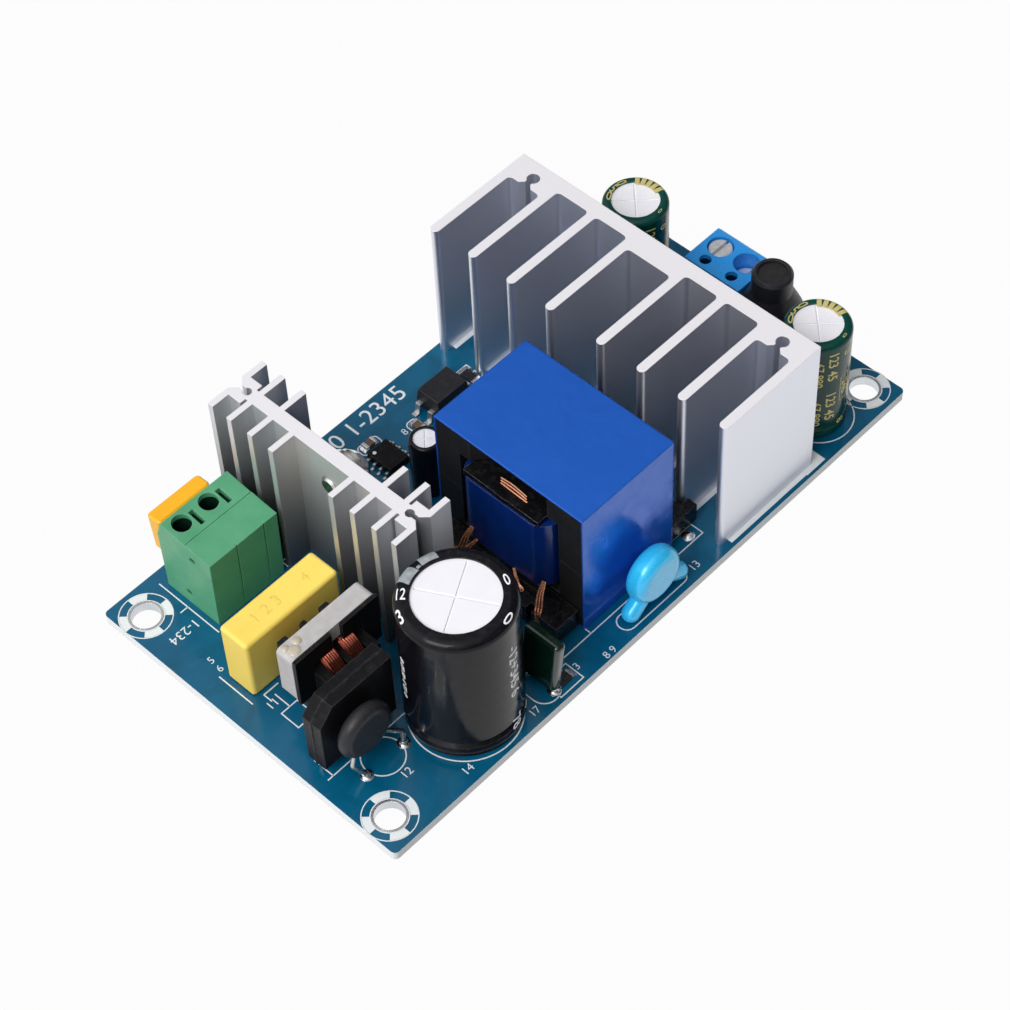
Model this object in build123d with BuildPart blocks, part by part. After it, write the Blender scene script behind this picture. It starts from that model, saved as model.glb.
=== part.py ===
from build123d import *
import math
import os

# Open frame mains power supply on one circuit board, in millimetres.
# Origin: centre of the four fixing holes on the underside of the board.
# X runs from the mains end (-) to the output end (+), Z points up.

os.makedirs("parts", exist_ok=True)

# Circuit board
board_length = 107.0
board_width = 58.0
board_thickness = 1.6
board_corner = 0.8
hole_inset_x = 3.8
hole_inset_y = 4.75
hole_spacing_x = board_length - 2 * hole_inset_x
hole_spacing_y = board_width - 2 * hole_inset_y
hole_diameter = 4.5
deck = board_thickness

# Solder joints and leads
joint_height = 1.3
joint_radius = 1.0
joint_tip_radius = 0.4
lead_radius = 0.35

# Mains terminal, a two-way spring type
inlet_left = -43.8
inlet_front = 15.0
inlet_back = 26.0
inlet_pitch = 5.04
inlet_end_plate = 2.5
inlet_front_height = 13.9
inlet_ridge = 20.0
inlet_ridge_height = 14.4
inlet_top_back = 24.9
inlet_top_height = 14.9
inlet_chamfer_height = 12.0
inlet_wire_x = 2.25
inlet_wire_y = 23.0
inlet_wire_radius = 1.45
inlet_slot_x = 4.45
inlet_slot_y = 22.3
inlet_slot_width = 0.85
inlet_slot_length = 2.7
inlet_cavity_width = 3.6
inlet_cavity_front = 17.2
inlet_cavity_back = 24.8
inlet_cavity_height = 9.5
inlet_spring_thickness = 0.4
inlet_pin_y = 20.5
inlet_pin_height = 1.2
inlet_marks = ((18.9, 11.7), (21.1, 2.4))
inlet_mark_radius = 0.6

# Fuse, raised on its legs
fuse_x = -38.0
fuse_y = 27.55
fuse_length = 9.7
fuse_thickness = 2.8
fuse_height = 6.5
fuse_lift = 6.0
fuse_lean = 4.0
fuse_pitch = 5.08
fuse_corner = 0.6

# Line capacitor, a potted box
film_left = -48.8
film_right = -31.4
film_front = 2.9
film_back = 8.3
film_height = 11.6
film_corner = 0.6
film_foot = 0.3
film_pitch = 15.0

# Common-mode choke
choke_x = -40.35
choke_y = -4.25
choke_length = 15.3
choke_depth = 3.0
choke_top = 16.0
choke_bottom = 6.6
choke_leg = 2.8
choke_turns = 6
choke_layers_radius = 4.9
choke_spool_radius = 2.9
choke_section_outer = 3.1
choke_section_inner = 0.45
choke_block_depth = 10.4
choke_block_half = 4.65
choke_block_top = 10.9
choke_clip_gap = 1.0
choke_clip_lap = 0.4
choke_clip_wall = 0.6
choke_fit = 0.1

# Bridge rectifier
bridge_left = -51.3
bridge_right = -37.9
bridge_front = -14.0
bridge_thickness = 3.4
bridge_lift = 2.2
bridge_top = 14.6
bridge_cut_x = 2.5
bridge_cut_z = 2.8
bridge_pitch = 3.81
bridge_seam = 0.12

# Thermistor disc
thermistor_x = -45.65
thermistor_y = -16.2
thermistor_z = 8.2
thermistor_radius = 4.45
thermistor_thickness = 2.5
thermistor_round = 1.2
thermistor_leg_y = -17.5
thermistor_leg_left = -47.3
thermistor_bow_left = (-49.0, -16.8, 3.4)
thermistor_end_left = (-48.0, -16.4, 5.4)
thermistor_leg_right = -40.3
thermistor_bow_right = (-39.9, -17.1, 2.1)
thermistor_end_right = (-43.2, -16.3, 5.3)
thermistor_leg_bend = 0.6

# Round capacitors: centre x and y, radius, height, lead pitch and turn of the scored cross
bulk_place = (-30.4, -19.5)
bulk_radius = 8.35
bulk_height = 25.7
bulk_pitch = 7.5
bulk_turn = 29
output_radius = 5.0
output_height = 20.0
output_pitch = 5.0
small_turn = 45
output_left_place = (41.7, 14.0)
output_right_place = (40.9, -21.4)
auxiliary_place = (-6.4, 10.9)
auxiliary_radius = 2.5
auxiliary_height = 11.0
auxiliary_pitch = 2.0
sleeve_wall = 0.25
shoulder_ratio = 0.12
crimp_ratio = 0.08
mouth_ratio = 0.73
vent_ratio = 1.38
vent_width = 0.3

# Small heatsink of the switching transistor
small_centre_y = 9.9
small_length = 36.4
small_height = 26.0
small_web_x = -26.1
small_web = 2.15
small_left_tip = -30.1
small_right_tip = -19.9
small_fin = 0.95
small_left_fins = (17.7, 14.0, 9.9, 5.8)
small_right_fins = (17.7, 14.0, 9.9)
small_end_block = 3.3
small_end_web = 4.2
small_channel_radius = 0.68
small_channel_depth = 2.5
small_channel_neck = 0.7
small_mouth = 2.7
small_mouth_depth = 1.1

# Switching transistor and its screw
switch_y = 8.9
switch_hole_height = 20.3
package_width = 10.0
package_body = 9.0
package_thickness = 4.4
tab_thickness = 1.3
tab_height = 15.4
tab_hole_offset = 2.7
tab_hole_radius = 1.8
tab_step = 0.6
package_pitch = 2.54
leg_width = 0.8
leg_thickness = 0.5
leg_offset = 1.1
screw_radius = 1.5
screw_head_radius = 2.75
screw_head_height = 1.9
washer_thickness = 0.6
screw_fit = 0.08
switch_screw_proud = 0.4
recess_span = 2.6
recess_width = 0.55
recess_depth = 0.9

# Large heatsink of the output rectifier
large_centre_y = 0.45
large_length = 56.1
large_height = 26.0
large_nose = 13.4
large_face = 33.4
large_fin = 1.5
large_middle_gap = 9.6
large_side_fins = 4
large_pitch = (large_length - large_fin - large_middle_gap) / (2 * (large_side_fins - 1))
large_fins = [large_middle_gap / 2 + step * large_pitch for step in range(large_side_fins)]
large_base = 2.4
large_middle_base = 4.0
large_end_base = 4.7
large_channel_x = 30.6
large_channel_radius = 1.0
large_channel_neck = 1.0
large_mouth = 2.4
large_mouth_depth = 0.7
large_root_round = 0.7
post_length = 7.0
post_fit = 0.05

# Output rectifier
rectifier_hole_height = 18.5
pad_thickness = 0.3
pad_margin = 1.5
rectifier_screw_length = 4.8

# Transformer
core_x = -1.05
core_y = -9.3
core_depth = 18.2
core_length = 27.0
core_height = 24.0
core_plate = 4.2
core_window_radius = 11.3
core_opening = 18.4
core_post_radius = 6.0
core_notch = 3.2
core_notch_inner = 9.0
core_notch_outer = 14.5
core_lift = 0.3
tape_wall = 0.25
winding_radius = 10.9
winding_bulge = 16.6
winding_corner = 3.0
spool_radius = 6.9
spool_fit = 0.15
flange_thickness = 1.0
flange_radius = 10.8
flange_arm = 13.9
flange_reach = 10.7
rail_height = 4.0
rail_foot = 0.6
rail_foot_width = 1.2
rail_depth = 4.5
rail_length = 22.4
rail_gap = 0.25
rail_slot_width = 1.1
rail_slot_depth = 1.2
trafo_pins = 6
trafo_pin_pitch = 3.81
trafo_pin_row = 12.7
trafo_pin_radius = 0.35
trafo_wire_radius = 0.3
trafo_wire_slots = (0, 1, 2, 4)
trafo_wire_rise = 1.2
strand_shift = -0.7
strand_length = 5.2

# Disc capacitor over the isolation gap
disc_x = 0.0
disc_y = -26.6
disc_z = 6.3
disc_radius = 4.5
disc_thickness = 3.6
disc_legs = (-4.5, 5.5)
disc_lobe_radius = 1.35

# Dipped film capacitor
dipped_x = -20.4
dipped_front = -27.5
dipped_back = -21.0
dipped_thickness = 2.1
dipped_top = 9.8
dipped_lift = 1.2
dipped_lean = 8.0
dipped_pitch = 5.0

# Control chip
chip_x = -7.15
chip_y = 18.5
chip_width = 3.9
chip_length = 4.9
chip_height = 1.5
chip_lift = 0.1
chip_pitch = 1.27
chip_span = 6.0
chip_leg_width = 0.42
chip_leg_thickness = 0.2

# Optocoupler, surface mounted
opto_x = 6.35
opto_y = 20.5
opto_length = 6.5
opto_width = 4.6
opto_height = 3.6
opto_lift = 0.2
opto_span = 10.0
opto_leg_width = 0.9
opto_leg_thickness = 0.25

# Chip parts: centre x, centre y and turn of each, in two case sizes
chip_resistor_places = ((-18.4, -26.6, 0), (12.3, 20.9, 90))
chip_capacitor_places = ((-7.0, 22.6, 0), (0.2, 19.7, 90))
resistor_case = (3.1, 1.6, 0.55)
capacitor_case = (2.0, 1.25, 0.9)
case_end = 0.4

# Output inductor
drum_x = 46.7
drum_y = -8.3
drum_radius = 4.9
drum_shoulder = 9.6
drum_neck_radius = 3.1
drum_neck_start = 12.6
drum_top = 16.4
drum_core_radius = 2.2
drum_pitch = 5.0

# Output terminal, a two-way screw type
outlet_left = 45.0
outlet_right = 53.2
outlet_near = -3.45
outlet_pitch = 5.08
outlet_end = 0.2
outlet_height = 10.0
outlet_well_x = 50.1
outlet_well_radius = 2.05
outlet_head_radius = 1.85
outlet_head_height = 1.4
outlet_shank_radius = 1.2
outlet_shank_length = 3.6
outlet_slot = 0.5
outlet_slot_depth = 0.8
outlet_test_x = 46.6
outlet_test_radius = 0.95
outlet_raised_top = 9.7
outlet_travel = 2.6
outlet_entry = 3.4
outlet_entry_bottom = 1.0
cage_wall = 0.6
cage_length = 4.4
cage_fit = 0.1


def lead(x, y, height, radius=lead_radius):
    """Adds a straight round lead that stands on the board."""
    with Locations((x, y, deck)):
        Cylinder(radius, height, align=(Align.CENTER, Align.CENTER, Align.MIN))


def pair(x, y, pitch):
    """Gives the two lead places of a part whose leads lie along X."""
    return [(x - pitch / 2, y), (x + pitch / 2, y)]


joint_places = []

# Circuit board with its four fixing holes
with BuildPart() as circuit_board:
    with BuildSketch():
        RectangleRounded(board_length, board_width, board_corner)
        with GridLocations(hole_spacing_x, hole_spacing_y, 2, 2):
            Circle(hole_diameter / 2, mode=Mode.SUBTRACT)
    extrude(amount=board_thickness)
circuit_board.part.label = "circuit_board"
export_step(circuit_board.part, "parts/circuit_board.step")

# Mains terminal: stepped housing with wire holes, test slots and a spring chamber under each way
inlet_width = 2 * inlet_pitch + inlet_end_plate
inlet_ways = [inlet_left + way * inlet_pitch for way in range(2)]
inlet_chambers = [way_x + inlet_pitch / 2 + 0.3 for way_x in inlet_ways]
inlet_cavity_y = (inlet_cavity_front + inlet_cavity_back) / 2
with BuildPart() as input_terminal_housing:
    with BuildSketch(Plane.YZ.offset(inlet_left)):
        with BuildLine():
            Polyline(
                (inlet_front + 0.4, deck),
                (inlet_front, deck + inlet_front_height),
                (inlet_ridge, deck + inlet_ridge_height),
                (inlet_ridge, deck + inlet_ridge_height - 0.15),
                (inlet_top_back, deck + inlet_top_height),
                (inlet_back, deck + inlet_chamfer_height),
                (inlet_back, deck),
                close=True,
            )
        make_face()
    extrude(amount=inlet_width)
    for way_x, chamber_x in zip(inlet_ways, inlet_chambers):
        with BuildSketch(Plane.XY.offset(deck + inlet_cavity_height)):
            with Locations((way_x + inlet_wire_x, inlet_wire_y)):
                Circle(inlet_wire_radius)
            with Locations((way_x + inlet_slot_x, inlet_slot_y)):
                Rectangle(inlet_slot_width, inlet_slot_length)
        extrude(amount=inlet_top_height, mode=Mode.SUBTRACT)
        with Locations((chamber_x, inlet_cavity_y, deck)):
            Box(
                inlet_cavity_width + 0.9,
                inlet_cavity_back - inlet_cavity_front,
                inlet_cavity_height,
                align=(Align.CENTER, Align.CENTER, Align.MIN),
                mode=Mode.SUBTRACT,
            )
        seam = (way_x + inlet_pitch, inlet_front, deck)
        with Locations(seam):
            Box(0.2, 0.9, 2 * inlet_front_height, mode=Mode.SUBTRACT)
    with Locations(*[(inlet_left, y, deck + z) for y, z in inlet_marks]):
        Cylinder(inlet_mark_radius, 0.8, rotation=(0, 90, 0), mode=Mode.SUBTRACT)
input_terminal_housing.part.label = "input_terminal_housing"
export_step(input_terminal_housing.part, "parts/input_terminal_housing.step")

# Mains terminal: one bent leaf spring in each chamber
with BuildPart() as input_terminal_springs:
    for chamber_x in inlet_chambers:
        front = inlet_cavity_front + 0.3
        back = inlet_cavity_back - 0.2
        foot = deck + inlet_pin_height
        top = deck + inlet_cavity_height - 0.3
        wall = inlet_spring_thickness
        with BuildSketch(Plane.YZ.offset(chamber_x - inlet_cavity_width / 2)):
            with BuildLine():
                Polyline(
                    (front, foot),
                    (back, foot),
                    (back, top - 5.0),
                    (back - wall, top - 5.0),
                    (back - wall, foot + wall),
                    (front + wall, foot + wall),
                    (front + wall, top - wall),
                    (front + 1.9, top - wall),
                    (back - 1.6, top - 6.4),
                    (back - 1.2, top - 6.2),
                    (front + 2.1, top),
                    (front, top),
                    close=True,
                )
            make_face()
        extrude(amount=inlet_cavity_width)
input_terminal_springs.part.label = "input_terminal_springs"
export_step(input_terminal_springs.part, "parts/input_terminal_springs.step")

# Mains terminal: a flat pin under each spring
inlet_pins = [(chamber_x, inlet_pin_y) for chamber_x in inlet_chambers]
with BuildPart() as input_terminal_pins:
    with Locations(*[(x, y, deck) for x, y in inlet_pins]):
        Box(0.8, 1.0, inlet_pin_height, align=(Align.CENTER, Align.CENTER, Align.MIN))
input_terminal_pins.part.label = "input_terminal_pins"
export_step(input_terminal_pins.part, "parts/input_terminal_pins.step")
joint_places += inlet_pins

# Fuse: a moulded box that leans back on two raised legs
lean = math.radians(fuse_lean)
fuse_plane = Plane(
    origin=(fuse_x, fuse_y, deck + fuse_lift),
    x_dir=(1, 0, 0),
    z_dir=(0, math.sin(lean), math.cos(lean)),
)
with BuildPart() as input_fuse:
    with BuildSketch(fuse_plane):
        RectangleRounded(fuse_length, fuse_thickness, fuse_corner)
    extrude(amount=fuse_height)
    chamfer(input_fuse.faces().sort_by(Axis.Z)[-1].edges(), 0.25)
input_fuse.part.label = "input_fuse"
export_step(input_fuse.part, "parts/input_fuse.step")

fuse_legs = pair(fuse_x, fuse_y, fuse_pitch)
with BuildPart() as input_fuse_leads:
    for x, y in fuse_legs:
        lead(x, y, fuse_lift)
input_fuse_leads.part.label = "input_fuse_leads"
export_step(input_fuse_leads.part, "parts/input_fuse_leads.step")
joint_places += fuse_legs

# Line capacitor: a box on four small feet
film_x = (film_left + film_right) / 2
film_y = (film_front + film_back) / 2
film_length = film_right - film_left
film_depth = film_back - film_front
with BuildPart() as line_capacitor:
    with BuildSketch(Plane.XY.offset(deck + film_foot)):
        with Locations((film_x, film_y)):
            RectangleRounded(film_length, film_depth, film_corner)
    extrude(amount=film_height - film_foot)
    fillet(line_capacitor.faces().sort_by(Axis.Z)[-1].edges(), film_corner - 0.05)
    with BuildSketch(Plane.XY.offset(deck)):
        with Locations((film_x, film_y)):
            with GridLocations(film_length - 3.0, film_depth - 1.8, 2, 2):
                Rectangle(1.6, 0.8)
    extrude(amount=film_foot)
line_capacitor.part.label = "line_capacitor"
export_step(line_capacitor.part, "parts/line_capacitor.step")

film_legs = pair(film_x, film_y, film_pitch)
with BuildPart() as line_capacitor_leads:
    for x, y in film_legs:
        lead(x, y, film_foot)
line_capacitor_leads.part.label = "line_capacitor_leads"
export_step(line_capacitor_leads.part, "parts/line_capacitor_leads.step")
joint_places += film_legs

# Common-mode choke: an upright closed ferrite frame
choke_mid = deck + (choke_top + choke_bottom) / 2
choke_height = choke_top - choke_bottom
choke_axis = deck + choke_bottom + choke_leg / 2
with BuildPart() as choke_core:
    with BuildSketch(Plane.XZ.offset(-choke_y)) as frame_profile:
        with Locations((choke_x, choke_mid)):
            RectangleRounded(choke_length, choke_height, 0.8)
            Rectangle(choke_length - 2 * choke_leg, choke_height - 2 * choke_leg, mode=Mode.SUBTRACT)
    extrude(amount=choke_depth / 2, both=True)
choke_core.part.label = "choke_core"
export_step(choke_core.part, "parts/choke_core.step")

# Choke bobbin: spool on the lower leg, thick pin blocks outside, a middle flange, and a clip in front
# of the frame that leaves only the middle of its upper leg bare
choke_half = choke_length / 2
with BuildPart() as choke_bobbin:
    with Locations((choke_x, choke_y, deck + choke_block_top / 2 + 0.15)):
        Box(2 * choke_block_half, choke_block_depth, choke_block_top - 0.3)
    for side in (-1, 1):
        section = (choke_section_outer + choke_section_inner) / 2
        with Locations((choke_x + side * section, choke_y, choke_mid)):
            Box(
                choke_section_outer - choke_section_inner,
                choke_block_depth + 1,
                2 * choke_height,
                mode=Mode.SUBTRACT,
            )
    with Locations((choke_x, choke_y, choke_axis)):
        Cylinder(choke_spool_radius, 2 * choke_section_outer, rotation=(0, 90, 0))
        Box(choke_length, choke_depth + 2 * choke_fit, choke_leg + 2 * choke_fit, mode=Mode.SUBTRACT)
    with Locations((choke_x, choke_y, deck + choke_top - choke_leg - choke_fit)):
        Box(
            choke_length,
            choke_depth + 2 * choke_fit,
            4 * choke_leg,
            align=(Align.CENTER, Align.CENTER, Align.MIN),
            mode=Mode.SUBTRACT,
        )
    clip_y = choke_y - choke_depth / 2 - choke_fit
    for side in (-1, 1):
        clip_end = choke_x + side * choke_half
        clip_foot = choke_leg + choke_clip_lap
        with Locations((clip_end - side * clip_foot / 2, clip_y, deck + choke_bottom)):
            Box(
                clip_foot,
                choke_clip_wall,
                choke_height,
                align=(Align.CENTER, Align.MAX, Align.MIN),
            )
        clip_length = choke_half - choke_clip_gap
        clip_bar = choke_leg + choke_clip_lap
        with Locations((clip_end - side * clip_length / 2, clip_y, deck + choke_top - clip_bar)):
            Box(
                clip_length,
                choke_clip_wall,
                clip_bar,
                align=(Align.CENTER, Align.MAX, Align.MIN),
            )
choke_bobbin.part.label = "choke_bobbin"
export_step(choke_bobbin.part, "parts/choke_bobbin.step")

# Choke windings: round wire laid side by side, seen as ridges
choke_sections = [choke_x - choke_section_outer, choke_x + choke_section_inner]
choke_section_width = choke_section_outer - choke_section_inner
choke_wire_pitch = (choke_section_width - 0.1) / choke_turns
with BuildPart() as choke_windings:
    for start in choke_sections:
        outline = [(0.0, choke_spool_radius + 0.05)]
        for turn in range(choke_turns):
            left = turn * choke_wire_pitch
            outline.append((left, choke_layers_radius - choke_wire_pitch / 2))
            outline.append((left + choke_wire_pitch / 2, choke_layers_radius))
        outline.append((choke_turns * choke_wire_pitch, choke_layers_radius - choke_wire_pitch / 2))
        outline.append((choke_turns * choke_wire_pitch, choke_spool_radius + 0.05))
        winding_start = (start + 0.05, choke_y, choke_axis)
        with BuildSketch(Plane(origin=winding_start, x_dir=(1, 0, 0), z_dir=(0, -1, 0))):
            with BuildLine():
                Polyline(*outline, close=True)
            make_face()
        revolve(axis=Axis((start, choke_y, choke_axis), (1, 0, 0)))
choke_windings.part.label = "choke_windings"
export_step(choke_windings.part, "parts/choke_windings.step")
choke_pins = [
    (choke_x + side * (choke_block_half - 0.7), choke_y + row * (choke_block_depth / 2 - 0.9))
    for side in (-1, 1)
    for row in (-1, 1)
]
with BuildPart() as choke_pins_group:
    for x, y in choke_pins:
        lead(x, y, 0.3)
choke_pins_group.part.label = "choke_pins"
export_step(choke_pins_group.part, "parts/choke_pins.step")
joint_places += choke_pins

# Bridge rectifier: a slab with one large chamfer and a mould parting line
bridge_y = bridge_front + bridge_thickness / 2
with BuildPart() as bridge_rectifier:
    with BuildSketch(Plane.XZ.offset(-bridge_y)) as bridge_profile:
        with BuildLine():
            Polyline(
                (bridge_left, deck + bridge_lift),
                (bridge_right, deck + bridge_lift),
                (bridge_right, deck + bridge_top),
                (bridge_left + bridge_cut_x, deck + bridge_top),
                (bridge_left, deck + bridge_top - bridge_cut_z),
                close=True,
            )
        make_face()
    extrude(amount=bridge_thickness / 2, both=True, taper=2)
    with BuildSketch(Plane.XZ.offset(-bridge_y)):
        add(bridge_profile.sketch)
        offset(amount=bridge_seam, kind=Kind.INTERSECTION)
    extrude(amount=bridge_seam, both=True)
bridge_rectifier.part.label = "bridge_rectifier"
export_step(bridge_rectifier.part, "parts/bridge_rectifier.step")

bridge_x = (bridge_left + bridge_right) / 2
bridge_legs = [(bridge_x + (leg - 1.5) * bridge_pitch, bridge_y) for leg in range(4)]
with BuildPart() as bridge_rectifier_leads:
    with Locations(*[(x, y, deck) for x, y in bridge_legs]):
        Box(1.0, 0.6, bridge_lift - bridge_seam, align=(Align.CENTER, Align.CENTER, Align.MIN))
bridge_rectifier_leads.part.label = "bridge_rectifier_leads"
export_step(bridge_rectifier_leads.part, "parts/bridge_rectifier_leads.step")
joint_places += bridge_legs

# Thermistor: a coated lens in front of the bridge, on two bent legs that end at its rim
with BuildPart() as thermistor:
    with BuildSketch(Plane.XZ.offset(-thermistor_y)):
        with Locations((thermistor_x, deck + thermistor_z)):
            Circle(thermistor_radius)
    extrude(amount=thermistor_thickness / 2, both=True)
    fillet(thermistor.edges().filter_by(GeomType.CIRCLE), thermistor_round)
thermistor.part.label = "thermistor"
export_step(thermistor.part, "parts/thermistor.step")

thermistor_legs = [(thermistor_leg_left, thermistor_leg_y), (thermistor_leg_right, thermistor_leg_y)]
thermistor_bows = [thermistor_bow_left, thermistor_bow_right]
thermistor_ends = [thermistor_end_left, thermistor_end_right]
with BuildPart() as thermistor_leads:
    for foot, bow, end in zip(thermistor_legs, thermistor_bows, thermistor_ends):
        with BuildLine() as bent_leg:
            FilletPolyline(
                (foot[0], foot[1], deck),
                (bow[0], bow[1], deck + bow[2]),
                (end[0], end[1], deck + end[2]),
                radius=thermistor_leg_bend,
            )
        with BuildSketch(Plane.XY.offset(deck)):
            with Locations(foot):
                Circle(lead_radius)
        sweep(path=bent_leg.line)
    add(thermistor.part, mode=Mode.SUBTRACT)
thermistor_leads.part.label = "thermistor_leads"
export_step(thermistor_leads.part, "parts/thermistor_leads.step")
joint_places += thermistor_legs


def shoulder_arc(centre_x, centre_z, radius):
    """Draws the quarter arc that rounds a can or its sleeve from its side to its top."""
    middle = radius * math.sqrt(0.5)
    ThreePointArc(
        (centre_x + radius, centre_z),
        (centre_x + middle, centre_z + middle),
        (centre_x, centre_z + radius),
    )


def capacitor_can(place, radius, height, turn):
    """Builds a crimped aluminium can with a scored cross in its top."""
    inner = radius - sleeve_wall
    edge = radius * shoulder_ratio
    groove = radius * crimp_ratio
    groove_z = deck + 0.18 * radius + 1.2
    can_top = deck + height - sleeve_wall
    with BuildPart() as can:
        with BuildSketch(Plane.XZ.offset(-place[1])):
            with BuildLine():
                Line((place[0], deck), (place[0] + inner - 0.3, deck))
                Line((place[0] + inner - 0.3, deck), (place[0] + inner, deck + 0.3))
                Line((place[0] + inner, deck + 0.3), (place[0] + inner, groove_z - groove))
                Polyline(
                    (place[0] + inner, groove_z - groove),
                    (place[0] + inner - groove, groove_z),
                    (place[0] + inner, groove_z + groove),
                    (place[0] + inner, can_top - edge),
                )
                shoulder_arc(place[0] + inner - edge, can_top - edge, edge)
                Polyline(
                    (place[0] + inner - edge, can_top),
                    (place[0], can_top),
                    (place[0], deck),
                )
            make_face()
        revolve(axis=Axis((place[0], place[1], 0), (0, 0, 1)))
        for score_turn in (turn, turn + 90):
            with Locations((place[0], place[1], can_top)):
                Box(
                    vent_ratio * radius,
                    vent_width,
                    vent_width,
                    rotation=(0, 0, score_turn),
                    mode=Mode.SUBTRACT,
                )
    return can


def capacitor_sleeve(place, radius, height):
    """Builds the shrunk sleeve, which follows the can and turns in over its shoulder."""
    inner = radius - sleeve_wall
    edge = radius * shoulder_ratio
    groove = radius * crimp_ratio
    groove_z = deck + 0.18 * radius + 1.2
    can_top = deck + height - sleeve_wall
    arc_x = place[0] + inner - edge
    with BuildPart() as sleeve:
        with BuildSketch(Plane.XZ.offset(-place[1])):
            with BuildLine():
                Polyline(
                    (place[0] + inner, can_top - edge),
                    (place[0] + inner, groove_z + groove),
                    (place[0] + inner - groove, groove_z),
                    (place[0] + inner, groove_z - groove),
                    (place[0] + inner, deck + 0.3),
                    (place[0] + radius, deck + 0.3),
                    (place[0] + radius, groove_z - groove),
                    (place[0] + radius - groove, groove_z),
                    (place[0] + radius, groove_z + groove),
                    (place[0] + radius, can_top - edge),
                )
                shoulder_arc(arc_x, can_top - edge, edge + sleeve_wall)
                Polyline(
                    (arc_x, deck + height),
                    (place[0] + mouth_ratio * radius, deck + height),
                    (place[0] + mouth_ratio * radius, can_top),
                    (arc_x, can_top),
                )
                shoulder_arc(arc_x, can_top - edge, edge)
            make_face()
        revolve(axis=Axis((place[0], place[1], 0), (0, 0, 1)))
    return sleeve


# The four round capacitors
round_capacitors = {
    "bulk_capacitor": (bulk_place, bulk_radius, bulk_height, bulk_pitch, bulk_turn),
    "output_capacitor_left": (output_left_place, output_radius, output_height, output_pitch, small_turn),
    "output_capacitor_right": (output_right_place, output_radius, output_height, output_pitch, small_turn),
    "auxiliary_capacitor": (
        auxiliary_place,
        auxiliary_radius,
        auxiliary_height,
        auxiliary_pitch,
        small_turn,
    ),
}
for name, (place, radius, height, pitch, turn) in round_capacitors.items():
    can = capacitor_can(place, radius, height, turn)
    can.part.label = name + "_can"
    export_step(can.part, "parts/" + name + "_can.step")
    sleeve = capacitor_sleeve(place, radius, height)
    sleeve.part.label = name + "_sleeve"
    export_step(sleeve.part, "parts/" + name + "_sleeve.step")
    joint_places += [(place[0], place[1] - pitch / 2), (place[0], place[1] + pitch / 2)]

# Small heatsink: one web, comb fins on both sides, a screw channel in each end
with BuildPart() as small_heatsink:
    web_mid = small_web_x + small_web / 2
    with BuildSketch(Plane.XY.offset(deck)):
        with Locations((web_mid, small_centre_y)):
            Rectangle(small_web, small_length)
        for side in (-1, 1):
            for offset in small_left_fins:
                with Locations((small_left_tip, small_centre_y + side * offset)):
                    Rectangle(small_web_x - small_left_tip + 0.1, small_fin, align=(Align.MIN, Align.CENTER))
            for offset in small_right_fins:
                with Locations((small_right_tip, small_centre_y + side * offset)):
                    Rectangle(
                        small_right_tip - small_web_x - small_web + 0.1,
                        small_fin,
                        align=(Align.MAX, Align.CENTER),
                    )
            end_y = small_centre_y + side * small_length / 2
            with Locations((web_mid, end_y - side * small_end_block / 2)):
                Rectangle(small_end_web, small_end_block)
            channel_y = end_y - side * small_channel_depth
            with Locations((web_mid, channel_y)):
                Circle(small_channel_radius, mode=Mode.SUBTRACT)
            with Locations((web_mid, end_y - side * small_channel_depth / 2)):
                Rectangle(small_channel_neck, small_channel_depth, mode=Mode.SUBTRACT)
            with BuildLine():
                Polyline(
                    (web_mid - small_mouth / 2, end_y),
                    (web_mid + small_mouth / 2, end_y),
                    (web_mid + small_channel_neck / 2, end_y - side * small_mouth_depth),
                    (web_mid - small_channel_neck / 2, end_y - side * small_mouth_depth),
                    close=True,
                )
            make_face(mode=Mode.SUBTRACT)
    extrude(amount=small_height)
    with Locations((web_mid, switch_y, deck + switch_hole_height)):
        Cylinder(screw_radius + screw_fit, 2 * small_web, rotation=(0, 90, 0), mode=Mode.SUBTRACT)
small_heatsink.part.label = "small_heatsink"
export_step(small_heatsink.part, "parts/small_heatsink.step")

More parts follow.
